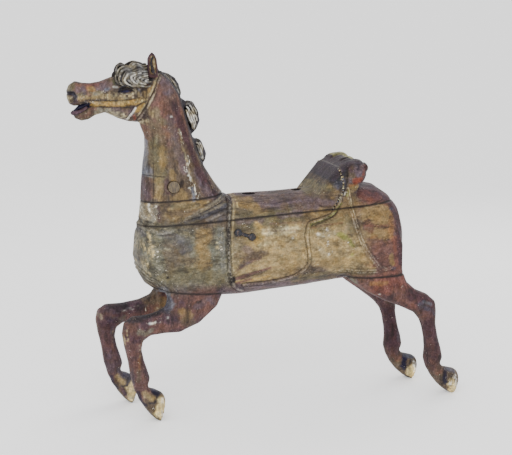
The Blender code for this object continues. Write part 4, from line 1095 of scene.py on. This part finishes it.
def worn_paint(name, grain, finishes):
    """Many coats of old paint over wood, streaked, crazed, flaked and dirty, with painted shade in its hollows and
    painted highlights on its raised edges.
    """
    recipe = Recipe(name)
    ground_coat_and_highlight = (*finishes.ground_coat_and_highlight, 1.0)
    dirt_and_shade = (*finishes.dirt_and_shade, 1.0)
    place = recipe.place()
    paint = recipe.node("ShaderNodeAttribute", {"attribute_name": "paint"}, output="Color")
    layer = recipe.node("ShaderNodeAttribute", {"attribute_name": "wear_and_shading"}, output="Color")
    grimy = Wire(recipe, layer.socket.node.outputs["Alpha"])
    hollow = recipe.node("ShaderNodeSeparateColor", None, {"Color": layer}, "Red")
    edge = Wire(recipe, hollow.socket.node.outputs["Green"])
    flaking = Wire(recipe, hollow.socket.node.outputs["Blue"])
    long_grain = recipe.stretched(place, grain)
    streak = recipe.noise(long_grain, 1.0, 4.0, 0.6)
    hair_grain = recipe.noise(long_grain, 3.1, 3.0, 0.6)
    mottle = recipe.noise(place, 30.0, 5.0, 0.65)
    speck = recipe.noise(place, 150.0, 3.0, 0.7)
    tone = 2.0 ** (2.6 * streak + 1.6 * hair_grain + 2.2 * mottle + 2.6 * speck - 4.42)
    colour = recipe.scaled(paint, tone)
    warm = recipe.step(recipe.noise(place, 37.0, 4.0, 0.6), 0.46, 0.62)
    colour = recipe.mix(0.38 * warm, colour, recipe.tinted(colour, (1.18, 1.02, 0.62)))
    cool = recipe.step(recipe.noise(recipe.stretched(place, (1.0, 1.0, 1.3)), 48.0, 4.0, 0.6), 0.5, 0.64)
    colour = recipe.mix(0.5 * cool, colour, recipe.tinted(colour, (0.84, 0.98, 1.12)))
    stain = recipe.step(recipe.noise(long_grain, 0.6, 5.0, 0.7) + 0.16 * grimy, 0.58, 0.70)
    colour = recipe.mix(0.55 * stain, colour, dirt_and_shade)
    chip_field = recipe.noise(long_grain, 1.6, 5.0, 0.66) + 0.26 * flaking
    chip = recipe.step(chip_field, 0.80, 0.83)
    chip_rim = recipe.step(chip_field, 0.765, 0.79) - chip
    colour = recipe.mix(0.85 * chip, colour, ground_coat_and_highlight)
    colour = recipe.mix(0.4 * chip_rim, colour, dirt_and_shade)
    crumb = recipe.noise(place, 240.0, 2.0, 0.5) + 0.10 * flaking
    colour = recipe.mix(0.6 * recipe.step(crumb, 0.75, 0.79), colour, ground_coat_and_highlight)
    # Worn edges and painted highlights on raised tops show the pale ground coat.
    rubbed_and_highlit = edge * recipe.step(speck + mottle, 0.90, 1.15)
    colour = recipe.mix(0.7 * rubbed_and_highlit, colour, ground_coat_and_highlight)
    # Dirt and painted shade darken the hollows, grooves and cracks.
    colour = recipe.mix(0.92 * hollow, colour, dirt_and_shade)
    height = 0.5 * streak + 0.6 * mottle + 0.5 * speck + 0.3 * hair_grain - 0.6 * chip
    return recipe.done(
        Base_Color=colour, Roughness=0.42 + 0.34 * mottle, Specular_IOR_Level=0.12,
        Normal=recipe.bump(height, 0.0022, 0.8))


def black_iron(name, finishes):
    """Blackened iron with rust in its pores and bluish rubbed spots, bare iron with painted glints."""
    recipe = Recipe(name)
    place = recipe.place()
    pits = recipe.noise(place, 260.0, 4.0, 0.65)
    rust = recipe.step(recipe.noise(place, 120.0, 3.0), 0.54, 0.66)
    colour = recipe.mix(0.6 * rust, (*finishes.iron, 1.0), (0.10, 0.045, 0.022, 1.0))
    # Bluish spots: bare rubbed iron, with painted glints
    rub_and_glint = recipe.step(pits, 0.6, 0.7)
    colour = recipe.mix(0.5 * rub_and_glint, colour, (0.16, 0.18, 0.24, 1.0))
    return recipe.done(
        Base_Color=colour, Roughness=0.26 + 0.4 * pits, Metallic=0.75 - 0.6 * rust,
        Normal=recipe.bump(pits, 0.0008, 0.8))


def plug_wood(name, finishes):
    """End grain of a plug, painted over and cracked."""
    recipe = Recipe(name)
    place = recipe.place()
    middle = recipe.node("ShaderNodeMapping", None, {"Vector": place, "Location": (0.3529, 0.0, -0.8030)})
    rings = recipe.node(
        "ShaderNodeTexWave", {"wave_type": "RINGS", "rings_direction": "Y"},
        {"Vector": middle, "Scale": 90.0, "Distortion": 3.0, "Detail": 3.0, "Detail Scale": 2.0}, 1)
    grain = recipe.noise(recipe.stretched(place, (240.0, 10.0, 60.0)), 1.0, 4.0, 0.6)
    colour = recipe.mix(recipe.step(grain, 0.35, 0.65), (0.050, 0.036, 0.024, 1.0), (0.150, 0.108, 0.055, 1.0))
    colour = recipe.mix(0.35 * rings, colour, (0.105, 0.080, 0.052, 1.0))
    dirty = recipe.step(recipe.noise(place, 150.0, 3.0), 0.55, 0.68)
    colour = recipe.mix(0.5 * dirty, colour, (*finishes.dirt_and_shade, 1.0))
    return recipe.done(
        Base_Color=colour, Roughness=0.45 + 0.3 * grain, Normal=recipe.bump(grain + 0.5 * rings, 0.001, 0.8))


# Hair and small carving

# Neck from the chest up: height, crest and half width
CREST = (
    (806, -180, 80), (858, -212, 68), (916, -238, 60), (986, -262, 54),
    (1052, -280, 50), (1112, -298, 46), (1158, -328, 42), (1184, -358, 30), (1200, -385, 24),
)

# Locks over the brow, on both sides: half width, strands, lightness (base tone and strength of the painted
# highlight), distance from the middle, and the places of the side view path
BROW_LOCKS = (
    (6.0, 1, 0.15, 12, -411, 1216, -424, 1213, -436, 1217, -447, 1220, -458, 1220, -470, 1215, -479, 1208, -489,
     1210, -498, 1213, -508, 1207, -514, 1198, -517, 1188, -516, 1178),
    (6.0, 1, 0.55, 22, -412, 1211, -426, 1207, -439, 1212, -452, 1214, -464, 1211, -475, 1205, -487, 1204, -498,
     1206, -507, 1200, -512, 1192, -515, 1182, -513, 1172),
    (6.5, 1, 0.35, 32, -413, 1204, -427, 1201, -440, 1206, -453, 1207, -466, 1203, -477, 1198, -490, 1199, -500,
     1196, -507, 1188, -511, 1178, -511, 1167, -510, 1159),
    (6.5, 2, 0.3, 38, -414, 1197, -429, 1194, -445, 1197, -461, 1196, -476, 1193, -487, 1190, -495, 1183, -500,
     1173, -500, 1163, -496, 1154, -488, 1149),
    (6.5, 1, 1.0, 42, -451, 1192, -466, 1189, -479, 1186, -489, 1181, -495, 1173, -495, 1164, -490, 1156, -481,
     1150, -471, 1148),
    (6.5, 1, 0.5, 45, -415, 1191, -433, 1190, -450, 1189, -464, 1186, -476, 1181, -482, 1174, -482, 1165, -475,
     1157, -465, 1151, -456, 1148),
    (6.5, 1, 1.0, 47, -433, 1186, -449, 1184, -461, 1181, -470, 1176, -472, 1168, -467, 1160, -457, 1154, -448,
     1150),
    (6.0, 1, 0.5, 48, -415, 1184, -430, 1182, -443, 1180, -454, 1177, -461, 1171, -459, 1163, -451, 1157, -440,
     1152, -431, 1149),
    (6.0, 1, 0.9, 49, -415, 1178, -427, 1176, -439, 1174, -448, 1170, -448, 1163, -440, 1156, -429, 1152, -419,
     1150),
    (5.5, 1, 0.4, 50, -414, 1171, -425, 1170, -434, 1168, -437, 1164, -432, 1159, -421, 1155, -412, 1154),
    (5.0, 1, 0.8, 50, -412, 1165, -420, 1164, -425, 1161, -420, 1158, -411, 1157, -402, 1158),
    (5.5, 1, 0.2, 30, -515, 1187, -520, 1179, -520, 1170, -517, 1161, -511, 1154, -504, 1150),
    (5.0, 1, 0.8, 36, -507, 1183, -511, 1175, -510, 1166, -506, 1157, -498, 1152),
    (5.0, 1, 0.9, 48, -510, 1153, -497, 1148, -481, 1146, -466, 1146, -453, 1145, -439, 1142),
    (4.5, 1, 0.5, 50, -467, 1150, -450, 1147, -435, 1144, -420, 1142, -406, 1145),
)

# Locks of the mane behind the crest: half width, strands, lightness (base tone and strength of the painted
# highlight), y, and the path's places
MANE_LOCKS = (
    (6.0, 2, 0.1, 6, -365, 1183, -346, 1178, -330, 1168, -316, 1154, -304, 1136, -295, 1119, -294, 1103),
    (5.5, 1, 0.6, 1, -361, 1176, -347, 1171, -333, 1161, -320, 1144, -308, 1127, -300, 1110),
    (5.0, 1, 0.35, -4, -359, 1170, -345, 1161, -333, 1148, -319, 1131, -309, 1114, -303, 1102),
    (4.0, 1, 0.9, -5, -352, 1178, -340, 1167, -329, 1152, -323, 1139),
    (4.0, 1, 0.8, -5, -334, 1167, -321, 1152, -312, 1137, -306, 1122),
    (4.0, 1, 0.7, -5, -321, 1148, -310, 1132, -303, 1116, -300, 1103),
    (6.0, 2, 0.05, 8, -277, 1077, -267, 1081, -255, 1077, -245, 1064, -237, 1043, -234, 1022, -238, 1001, -245,
     983),
    (6.0, 1, 0.2, 3, -279, 1073, -268, 1075, -258, 1065, -250, 1047, -245, 1026, -243, 1005, -246, 987),
    (5.5, 1, 1.0, -2, -279, 1067, -269, 1058, -261, 1041, -255, 1020, -250, 1001, -248, 985),
    (5.0, 1, 0.8, -6, -279, 1058, -272, 1044, -265, 1025, -258, 1005, -253, 988),
    (4.0, 1, 0.9, -6, -268, 1073, -258, 1061, -250, 1043, -245, 1026),
    (4.0, 1, 1.0, -7, -264, 1055, -254, 1038, -248, 1019, -246, 1003),
    (3.5, 1, 0.9, -6, -254, 1067, -245, 1053, -240, 1038),
    (3.5, 1, 0.8, -6, -249, 1041, -241, 1029, -239, 1015),
    (6.0, 2, 0.1, 6, -243, 948, -232, 951, -221, 932, -214, 911, -213, 890, -217, 872),
    (5.5, 1, 0.9, 0, -243, 943, -233, 938, -225, 921, -220, 899, -218, 878),
    (5.0, 1, 0.5, -5, -242, 934, -235, 922, -228, 903, -224, 883),
    (3.5, 1, 1.0, -6, -233, 947, -224, 931, -219, 913),
)


def lock_of_hair(half, strands, light, points, middle):
    """Carved lock that follows a path in space, with a ridge for each strand and pointed ends, painted with
    highlights on its ridges and with shade in its grooves and underneath.
    """
    path = smooth_path(points, 5)
    sway = np.column_stack([cloud(path, 19, 310), np.zeros(len(path)), cloud(path, 19, 311)])
    path = path + 0.45 * half * sway
    along = len(path) - 1
    around = 8 * strands + 4
    bpy.ops.mesh.primitive_grid_add(x_subdivisions=around, y_subdivisions=along, size=2)
    piece = bpy.context.object
    flat = points_of(piece)
    turn = (flat[:, 0] + 1) * math.pi
    row = np.clip(np.rint((flat[:, 1] + 1) / 2 * along).astype(int), 0, along)
    share = row / along
    ahead = np.gradient(path, axis=0)
    ahead /= np.linalg.norm(ahead, axis=1)[:, None]
    out = (path - np.array(middle)) * (0, 1, 1)
    across = np.cross(ahead, out)
    across /= np.linalg.norm(across, axis=1)[:, None]
    out = np.cross(across, ahead)
    swell = np.clip(np.sin(math.pi * np.clip(0.12 + 0.83 * share, 0, 1)), 0, 1) ** 0.6
    swell = np.where((row == 0) | (row == along), 0.0, swell)
    wave = np.cos(turn)
    upper = np.clip(np.sin(turn), 0, 1) ** 0.5
    ridge = 0.5 - 0.5 * np.cos(2 * math.pi * strands * (wave + 1) / 2)
    if strands == 1:
        ridge = 1 - wave ** 2
    rise = np.sin(turn) * (1 - 0.4 * (1 - ridge) * upper)
    spots = path[row] + (half * swell * wave)[:, None] * across[row]
    spots += (half * 0.95 * swell * rise)[:, None] * out[row]
    spots /= 1000
    spots[:, 0] -= GRID_SHIFT
    set_points(piece, spots)
    solid = spots * 1000
    chance = 0.5 + 0.5 * cloud(solid, 16, 300)
    shade = np.clip(0.45 + 0.75 * light + 0.7 * (chance - 0.5), 0, 1.3)[:, None]
    colour = TINTS["charcoal"] * (1 - shade) + TINTS["stone"] * 0.8 * shade
    brush(colour, 0.5 * ease(cloud(solid, 14, 301), 0, 0.5), TINTS["steel"] * 0.8)
    # Painted highlights on the tops of the ridges.
    painted_highlight = ridge ** 2 * upper * ease(cloud(solid, 9, 302) + 0.7 * light, 0.2, 0.95)
    brush(colour, 0.85 * painted_highlight, TINTS["chalk"] * (0.16 + 0.5 * light))
    # Painted shade in the grooves between the strands and on the underside of the lock.
    hollow = np.clip((1 - ridge) ** 2 * upper + (1 - upper), 0, 1)
    brush(colour, 0.85 * hollow, TINTS["soot"])
    keep_paint(piece, colour)
    weld(piece)
    return piece


def weld(piece):
    """Merge the touching corners of a piece and turn its faces outwards."""
    select_only(piece)
    bpy.ops.object.mode_set(mode="EDIT")
    bpy.ops.mesh.select_all(action="SELECT")
    bpy.ops.mesh.remove_doubles(threshold=WELD_GAP)
    bpy.ops.mesh.normals_make_consistent(inside=False)
    bpy.ops.object.mode_set(mode="OBJECT")


def coat(piece, tint):
    """Paint a small piece in one tint, a little uneven."""
    shade = 1 + 0.25 * cloud(points_of(piece) * 1000, 9, 400)
    keep_paint(piece, TINTS[tint] * shade[:, None])


def crest_at(height):
    """Crest and half width of the neck at a height."""
    heights, crests, halves = np.array(CREST).T
    return float(np.interp(height, heights, crests)), float(np.interp(height, heights, halves))


def hair_locks(head):
    """All locks of the forelock and the mane, the forelock lying on the head."""
    locks = []
    for side in (LEFT, RIGHT):
        for half, strands, light, apart, *flat in BROW_LOCKS:
            places = pairs(flat)
            reach = np.full(len(places), float(apart))
            for number, (x, z) in enumerate(places):
                start = Vector((x / 1000 - GRID_SHIFT, side * 0.2, z / 1000))
                found, spot, _, _ = head.ray_cast(start, Vector((0, -side, 0)))
                if found and side * spot.y > 0:
                    reach[number] = max(apart, side * spot.y * 1000 + 0.4 * half)
            reach[1:-1] = (reach[:-2] + 2 * reach[1:-1] + reach[2:]) / 4
            path = [(x, side * y, z) for (x, z), y in zip(places, reach)]
            locks.append(lock_of_hair(half, strands, light, path, (0, 0, 1150)))
    for half, strands, light, y, *flat in MANE_LOCKS:
        near_lock = [(x, y, z) for x, z in pairs(flat)]
        far_lock = [(x - 3, 22 - y, z) for x, z in pairs(flat)]
        locks.append(lock_of_hair(half, strands, light, near_lock, (0, 200, 900)))
        locks.append(lock_of_hair(half, strands, light, far_lock, (0, -200, 900)))
    for number in range(9):
        top = 1172 - number * 38
        for strand in range(2):
            path = []
            for step in range(6):
                share = step / 5
                height = top - 120 * share
                crest, half = crest_at(height)
                sweep = (30 + 16 * strand) * math.sin(math.pi * share)
                path.append((crest - 12 - 14 * strand - sweep, half * (1 + 2.1 * share) / 3 + 4, height))
            locks.append(lock_of_hair(10, 2, 0.3 + 0.4 * strand, path, (0, 0, 1000)))
    return locks


def head_features():
    """Eyes with their lids, the ears, a dark tongue that stands for the shade in the mouth, and the lower lip."""
    made = []
    for side in (LEFT, RIGHT):
        bpy.ops.mesh.primitive_uv_sphere_add(segments=28, ring_count=16, radius=1)
        eye = bpy.context.object
        set_points(eye, points_of(eye) * (0.0175, 0.009, 0.0076) + (-0.492 - GRID_SHIFT, side * 0.0500, 1.1285))
        coat(eye, "navy")
        made.append(eye)
        for half, tint, path in (
            (3.6, "soot", ((-518, 50, 1126), (-506, 55, 1133), (-493, 57, 1137.5), (-480, 57, 1136),
                           (-462, 54, 1127))),
            (1.8, "stone", ((-510, 50, 1124), (-503, 55, 1121), (-492, 57.5, 1119), (-481, 57, 1120),
                            (-472, 54, 1124))),
            (2.6, "charcoal", ((-514, 46, 1137), (-505, 52, 1143), (-492, 55, 1147), (-478, 55, 1145),
                               (-462, 53, 1135))),
        ):
            lid = lock_of_hair(half, 1, 0, [(x, side * y, z) for x, y, z in path], (0, 0, 1125))
            repaint(lid, tint)
            made.append(lid)
        made.append(carved_ear(side))
    lip = ((-616, 1080, 24), (-622, 1074, 23), (-633, 1068, 21), (-644, 1064, 18), (-654, 1061, 14),
           (-661, 1058, 8), (-664, 1057, 0))
    around = [(x, LEFT * y, z) for x, z, y in lip] + [(x, RIGHT * y, z) for x, z, y in lip[-2::-1]]
    rim = lock_of_hair(7.5, 1, 0, around, (0, 0, 1040))
    repaint(rim, "plum")
    made.append(rim)
    # Tongue filling the mouth, painted navy as dark as the shade inside the mouth
    bpy.ops.mesh.primitive_uv_sphere_add(segments=32, ring_count=16, radius=1)
    shaded_tongue = bpy.context.object
    rounded = points_of(shaded_tongue) * (0.036, 0.0165, 0.0095)
    rounded[:, 2] += 0.42 * (rounded[:, 0] + 0.02) + 0.0015 * np.sin(rounded[:, 0] * 260)
    set_points(shaded_tongue, rounded + (-0.624 - GRID_SHIFT, 0, 1.071))
    coat(shaded_tongue, "navy")
    made.append(shaded_tongue)
    return made


def repaint(piece, tint):
    """Give a painted piece one tint instead."""
    for name in ("paint", "wear_and_shading"):
        piece.data.color_attributes.remove(piece.data.color_attributes[name])
    coat(piece, tint)


# Ear from the root up: height, front, back, middle y, thickness
EAR = (
    (1168, -411, -378, 30, 11), (1190, -415, -380, 36, 12), (1210, -416, -382, 41, 11.5),
    (1228, -415.5, -384, 43, 9.5), (1240, -410, -389, 43, 6.5), (1250, -401.5, -398.5, 42, 1.2),
)


def carved_ear(side):
    """Pointed ear, cupped on its outer face."""
    heights, fronts, backs, middles, thicks = np.array(EAR).T
    along, around = 26, 36
    bpy.ops.mesh.primitive_grid_add(x_subdivisions=around, y_subdivisions=along, size=2)
    ear = bpy.context.object
    flat = points_of(ear)
    turn = (flat[:, 0] + 1) * math.pi
    share = np.clip((flat[:, 1] + 1) / 2, 0, 1)
    z = heights[0] + (heights[-1] - heights[0]) * share
    front, back, middle, thick = (np.interp(z, heights, row) for row in (fronts, backs, middles, thicks))
    wave = np.cos(turn)
    cup = np.clip(1 - (wave / 0.74) ** 2, 0, 1) ** 0.6 * ease(share, 0.06, 0.3) * (1 - ease(share, 0.86, 0.98))
    outer = np.sqrt(np.clip(np.sin(turn), 0, 1)) * 0.95 - 1.5 * cup * (np.sin(turn) > 0)
    across = np.where(np.sin(turn) > 0, outer, 0.9 * np.sin(turn)) * thick
    x = (front + back) / 2 + wave * (back - front) / 2
    open_ends = (share < 0.01) | (share > 0.99)
    x = np.where(open_ends, (front + back) / 2, x)
    across = np.where(open_ends, 0, across)
    swing = 17 if side == RIGHT else 0
    spots = np.column_stack([x + swing, side * (middle + across), z]) / 1000
    spots[:, 0] -= GRID_SHIFT
    set_points(ear, spots)
    solid = spots * 1000
    colour = np.tile(TINTS["wine"], (len(spots), 1))
    lit = cup * (np.sin(turn) > 0)
    brush(colour, 0.85 * ease(lit, 0.2, 0.7), TINTS["ochre"])
    brush(colour, 0.8 * ease(lit, 0.4, 0.8) * ease(cloud(solid, 9, 40), 0.0, 0.4), TINTS["bone"])
    brush(colour, 0.7 * ease(lit, 0.3, 0.6) * (wave < -0.5), TINTS["plum"])
    keep_paint(ear, colour)
    weld(ear)
    return ear


def join_to(piece, parts):
    """Join small pieces to a larger one and shade it smooth."""
    select_only(piece, *parts)
    for part in parts:
        part.data.materials.clear()
        part.data.materials.append(piece.data.materials[0])
    bpy.ops.object.join()
    shade_smooth(piece)


def shade_smooth(piece):
    """Shade a piece smooth up to its sharp edges."""
    select_only(piece)
    bpy.ops.object.shade_smooth_by_angle(angle=SHARP)


def finish_piece(piece, look, node):
    """Give a piece its material, put it under the root, and hide the solid it stands for."""
    piece.data.materials.clear()
    piece.data.materials.append(look)
    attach(piece, "root")
    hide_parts(node)


# Operators


def carve(skin, sizes, rounds):
    """Round a remeshed skin and cut its lines, hollows and seams."""
    places, _, _ = drawn(points_of(skin))
    x, z = places.T
    weights = np.ones(len(places)) - 0.55 * ease(z, 1020, 1060)
    hair = ease(z, 1135, 1150) * (x < -350) * ease(x, -535, -520)
    cantle = ease(x, 225, 240) * ease(z, 792, 806) * (1 - ease(x, 362, 374))
    weights *= 1 - 0.85 * np.maximum(hair, cantle)
    weights *= 1 - 0.7 * (1 - ease(z, 95, 115))
    relax(skin, weights, rounds)
    # The cantle's foot, the rump and the front thighs are smoothed once more
    foot = ease(x, 140, 160) * (1 - ease(x, 268, 285)) * ease(z, 705, 725) * (1 - ease(z, 788, 802))
    rump = ease(x, 372, 392) * ease(z, 690, 715)
    thigh = ease(x, -440, -420) * (1 - ease(x, -150, -130)) * ease(z, 255, 275) * (1 - ease(z, 412, 424))
    relax(skin, np.maximum(np.maximum(foot, rump), thigh), rounds)
    points = points_of(skin)
    solid = points * 1000
    faces = normals_of(skin)
    places, across, side = drawn(points)
    x, z = places.T
    height, _, _ = carving(places)
    height -= seams(places, across) * sizes.seam_depth
    height += sizes.tool_marks * (0.6 * cloud(solid, 55, 3) + 0.3 * cloud(solid, 22, 4)) * (1 - 0.8 * hair)
    height -= 6.5 * hair_cover(places)
    # Lobes of the cantle: a cleft between them, a swell on each, their tops, corners and the step
    from_middle = np.abs(across - LOBE_MIDDLE)
    lobes = ease(x, 262, 285) * ease(z, 800, 820) * (x < 372)
    height -= 10 * lobes * (1 - ease(from_middle, 0.5, 9))
    height += 2.5 * lobes * (1 - ease(np.abs(from_middle - 17), 4, 14))
    upward = ease(faces[:, 2], 0.2, 0.6)
    height += 4.5 * lobes * upward * (1 - ease(x, 322, 342))
    from_lobe = places - np.array(LOBE_CENTRE)
    turned = np.arctan2(from_lobe[:, 1], from_lobe[:, 0])
    corner = ease(np.cos(turned - 0.75), 0.80, 1.0) * ease(np.hypot(*from_lobe.T), 15, 25) * (x < 378)
    height += 11 * corner * (z > 800) * ease(from_middle, 3, 9)
    step = ease(x, 261, 268) * (1 - ease(x, 325, 340)) * (side == RIGHT) * ease(across, 48, 54)
    height += 4 * step * upward * (z > 800)
    set_points(skin, points + faces * height[:, None] / 1000)


def hair_cover(places):
    """Where the forelock and the ears are, above the brow."""
    x, z = places.T
    return ease(z, 1141, 1153) * ease(x, -535, -518) * (1 - ease(x, -400, -388) * (1 - ease(z, 1180, 1188)))


class HORSE_OT_blocks(bpy.types.Operator):
    """Carve and paint the seven blocks of the horse"""

    bl_idname = "horse.blocks"
    bl_label = "Carved blocks"

    def execute(self, context):
        """Make one skin over all blocks, carve it and part it at the seams."""
        sizes = context.scene.horse_sizes
        finishes = context.scene.horse_finishes
        body = remeshed(merged_copy(BLOCKS, "body_skin"), sizes.body_grain)
        carve(body, sizes, BODY_ROUNDS)
        head = remeshed(merged_copy(BLOCKS[:3], "head_skin"), sizes.head_grain)
        upper = ((-0.8, 0.70), (0.0, 0.70), (0.0, 1.4), (-0.8, 1.4))
        cut(head, box_over("upper", upper, -1, 1), "INTERSECT")
        carve(head, sizes, HEAD_ROUNDS)
        cut(head, above(NECK_SEAM, -SEAM_HALF_GAP), "INTERSECT")
        back = copy_of(body, "back")
        cut(back, above(BODY_SEAM, -SEAM_HALF_GAP), "INTERSECT")
        cut(back, above(NECK_SEAM, SEAM_HALF_GAP), "DIFFERENCE")
        cut(body, above(BODY_SEAM, SEAM_HALF_GAP), "DIFFERENCE")
        pieces = {"head_and_neck": head, "back_and_saddle": back, "barrel": body}
        legs = [(end, seam, word, side) for end, seam in (("front", FRONT_LEG_SEAM), ("rear", REAR_LEG_SEAM))
                for word, side in (("left", LEFT), ("right", RIGHT))]
        for end, seam, word, side in legs:
            name = f"{end}_{word}_leg"
            pieces[name] = copy_of(body, name)
            cut(pieces[name], under(seam, side, -SEAM_HALF_GAP), "INTERSECT")
        for _, seam, _, side in legs:
            cut(body, under(seam, side, SEAM_HALF_GAP), "DIFFERENCE")
        looks = {slot: worn_paint(slot, grain, finishes) for slot, grain in GRAINS.items()}
        for node in BLOCKS:
            piece = pieces[node]
            piece.name = f"carved_{node}"
            lay_paint(piece)
            slot = PAINT_SLOTS[node]
            finish_piece(piece, looks[slot], node)
            shade_smooth(piece)
        return {"FINISHED"}


class HORSE_OT_hair(bpy.types.Operator):
    """Carve the curled forelock, the mane, the eyes, the ears and the mouth on the head"""

    bl_idname = "horse.hair"
    bl_label = "Hair, eyes, ears and mouth"

    def execute(self, context):
        """Model the locks and the features and join them to the head."""
        head = bpy.data.objects["carved_head_and_neck"]
        join_to(head, hair_locks(head) + head_features())
        return {"FINISHED"}


class HORSE_OT_cantle_edge(bpy.types.Operator):
    """Set the row of small carved beads along the back edge of the saddle"""

    bl_idname = "horse.cantle_edge"
    bl_label = "Cantle edge"

    def execute(self, context):
        """Model one bead and lay copies of it along the edge on both sides."""
        back = bpy.data.objects["carved_back_and_saddle"]
        beads = []
        path = smooth_path(CANTLE_EDGE, 5)
        for side in (LEFT, RIGHT):
            for number, (x, z) in enumerate(path):
                start = Vector((x / 1000 - GRID_SHIFT, side * 0.3, z / 1000))
                found, spot, _, _ = back.ray_cast(start, Vector((0, -side, 0)))
                if not found:
                    continue
                bpy.ops.mesh.primitive_uv_sphere_add(segments=8, ring_count=6, radius=1)
                bead = bpy.context.object
                size = 0.0026 if number % 3 else 0.0034
                set_points(bead, points_of(bead) * (size, 0.0024, size * 1.2) + tuple(spot))
                coat(bead, BEAD_TINTS[number % len(BEAD_TINTS)])
                beads.append(bead)
        join_to(back, beads)
        return {"FINISHED"}


class HORSE_OT_fittings(bpy.types.Operator):
    """Finish the neck plugs and the iron hooks"""

    bl_idname = "horse.fittings"
    bl_label = "Plugs and hooks"

    def execute(self, context):
        """Round the plugs and cast the hooks over their solids."""
        finishes = context.scene.horse_finishes
        wood = plug_wood("plug_wood", finishes)
        iron = black_iron("hook_iron", finishes)
        for word in ("left", "right"):
            for kind, step, look, slot in (
                ("neck_plug", 0.0016, wood, "plug_wood"), ("iron_hook", 0.0012, iron, "hook_iron"),
            ):
                node = f"{kind}_{word}"
                piece = remeshed(merged_copy((node,), f"finished_{node}"), step)
                relax(piece, np.full(len(piece.data.vertices), 0.8), FITTING_ROUNDS)
                points = points_of(piece)
                lumps = cloud(points * 1000, 7, 500) + 0.5 * cloud(points * 1000, 3, 501)
                set_points(piece, points + normals_of(piece) * lumps[:, None] * 0.0002)
                finish_piece(piece, look, node)
        return {"FINISHED"}


def aimed(name, data, place, target):
    """Lamp or camera at a place, turned to a target."""
    holder = bpy.data.objects.new(name, data)
    holder.location = place
    aim = Vector(target) - Vector(place)
    holder.rotation_euler = aim.to_track_quat("-Z", "Y").to_euler()
    bpy.context.scene.collection.objects.link(holder)
    return holder


class HORSE_OT_stage(bpy.types.Operator):
    """Lay the pale floor and set the light and the camera"""

    bl_idname = "horse.stage"
    bl_label = "Floor, light and camera"

    def execute(self, context):
        """Make the floor, the lamps and the camera."""
        studio = context.scene.horse_studio
        bpy.ops.object.select_all(action="DESELECT")
        bpy.ops.mesh.primitive_plane_add(size=400)
        floor = context.object
        floor.name = "floor"
        recipe = Recipe("floor_paint")
        place = recipe.place()
        uneven = 0.985 + 0.03 * recipe.noise(place, 3.0)
        floor.data.materials.append(recipe.done(
            Base_Color=recipe.scaled(tuple(studio.floor), uneven),
            Roughness=0.9, Emission_Color=(1.0, 1.0, 1.0, 1.0), Emission_Strength=studio.glow))
        world = bpy.data.worlds.new("daylight")
        world.use_nodes = True
        background = world.node_tree.nodes["Background"].inputs
        background["Color"].default_value = (1.0, 1.0, 1.0, 1.0)
        background["Strength"].default_value = studio.daylight
        context.scene.world = world
        for name, place, size, share in LAMPS:
            lamp = bpy.data.lights.new(name, "AREA")
            lamp.size = size
            lamp.energy = studio.lamp * share
            aimed(name, lamp, place, LAMP_AIM)
        lens = bpy.data.cameras.new("camera")
        lens.lens = FOCAL_PIXELS / PHOTO_WIDTH * FILM
        lens.sensor_width = FILM
        context.scene.camera = aimed("camera", lens, CAMERA_PLACE, CAMERA_AIM)
        return {"FINISHED"}


class HORSE_PT_workshop(bpy.types.Panel):
    """Sizes, colours and steps of the horse"""

    bl_idname = "HORSE_PT_workshop"
    bl_label = "Old carousel horse"
    bl_space_type = "VIEW_3D"
    bl_region_type = "UI"
    bl_category = "Horse"

    def draw(self, context):
        """List the values and the operators."""
        for group in (context.scene.horse_sizes, context.scene.horse_finishes, context.scene.horse_studio):
            for name in group.__annotations__:
                self.layout.prop(group, name)
        for step in STEPS:
            self.layout.operator(step.bl_idname)


GROUPS = (("horse_sizes", Sizes), ("horse_finishes", Finishes), ("horse_studio", Studio))
STEPS = (HORSE_OT_blocks, HORSE_OT_hair, HORSE_OT_cantle_edge, HORSE_OT_fittings, HORSE_OT_stage)


def register():
    """Add the classes and the values."""
    for name, group in GROUPS:
        bpy.utils.register_class(group)
        setattr(bpy.types.Scene, name, bpy.props.PointerProperty(type=group))
    for item in (*STEPS, HORSE_PT_workshop):
        bpy.utils.register_class(item)


def unregister():
    """Take the classes and the values away."""
    for item in (HORSE_PT_workshop, *STEPS):
        bpy.utils.unregister_class(item)
    for name, group in GROUPS:
        delattr(bpy.types.Scene, name)
        bpy.utils.unregister_class(group)


def main():
    """Build the horse and its stage."""
    register()
    bpy.ops.horse.blocks()
    bpy.ops.horse.hair()
    bpy.ops.horse.cantle_edge()
    bpy.ops.horse.fittings()
    bpy.ops.horse.stage()


if __name__ == "__main__":
    main()
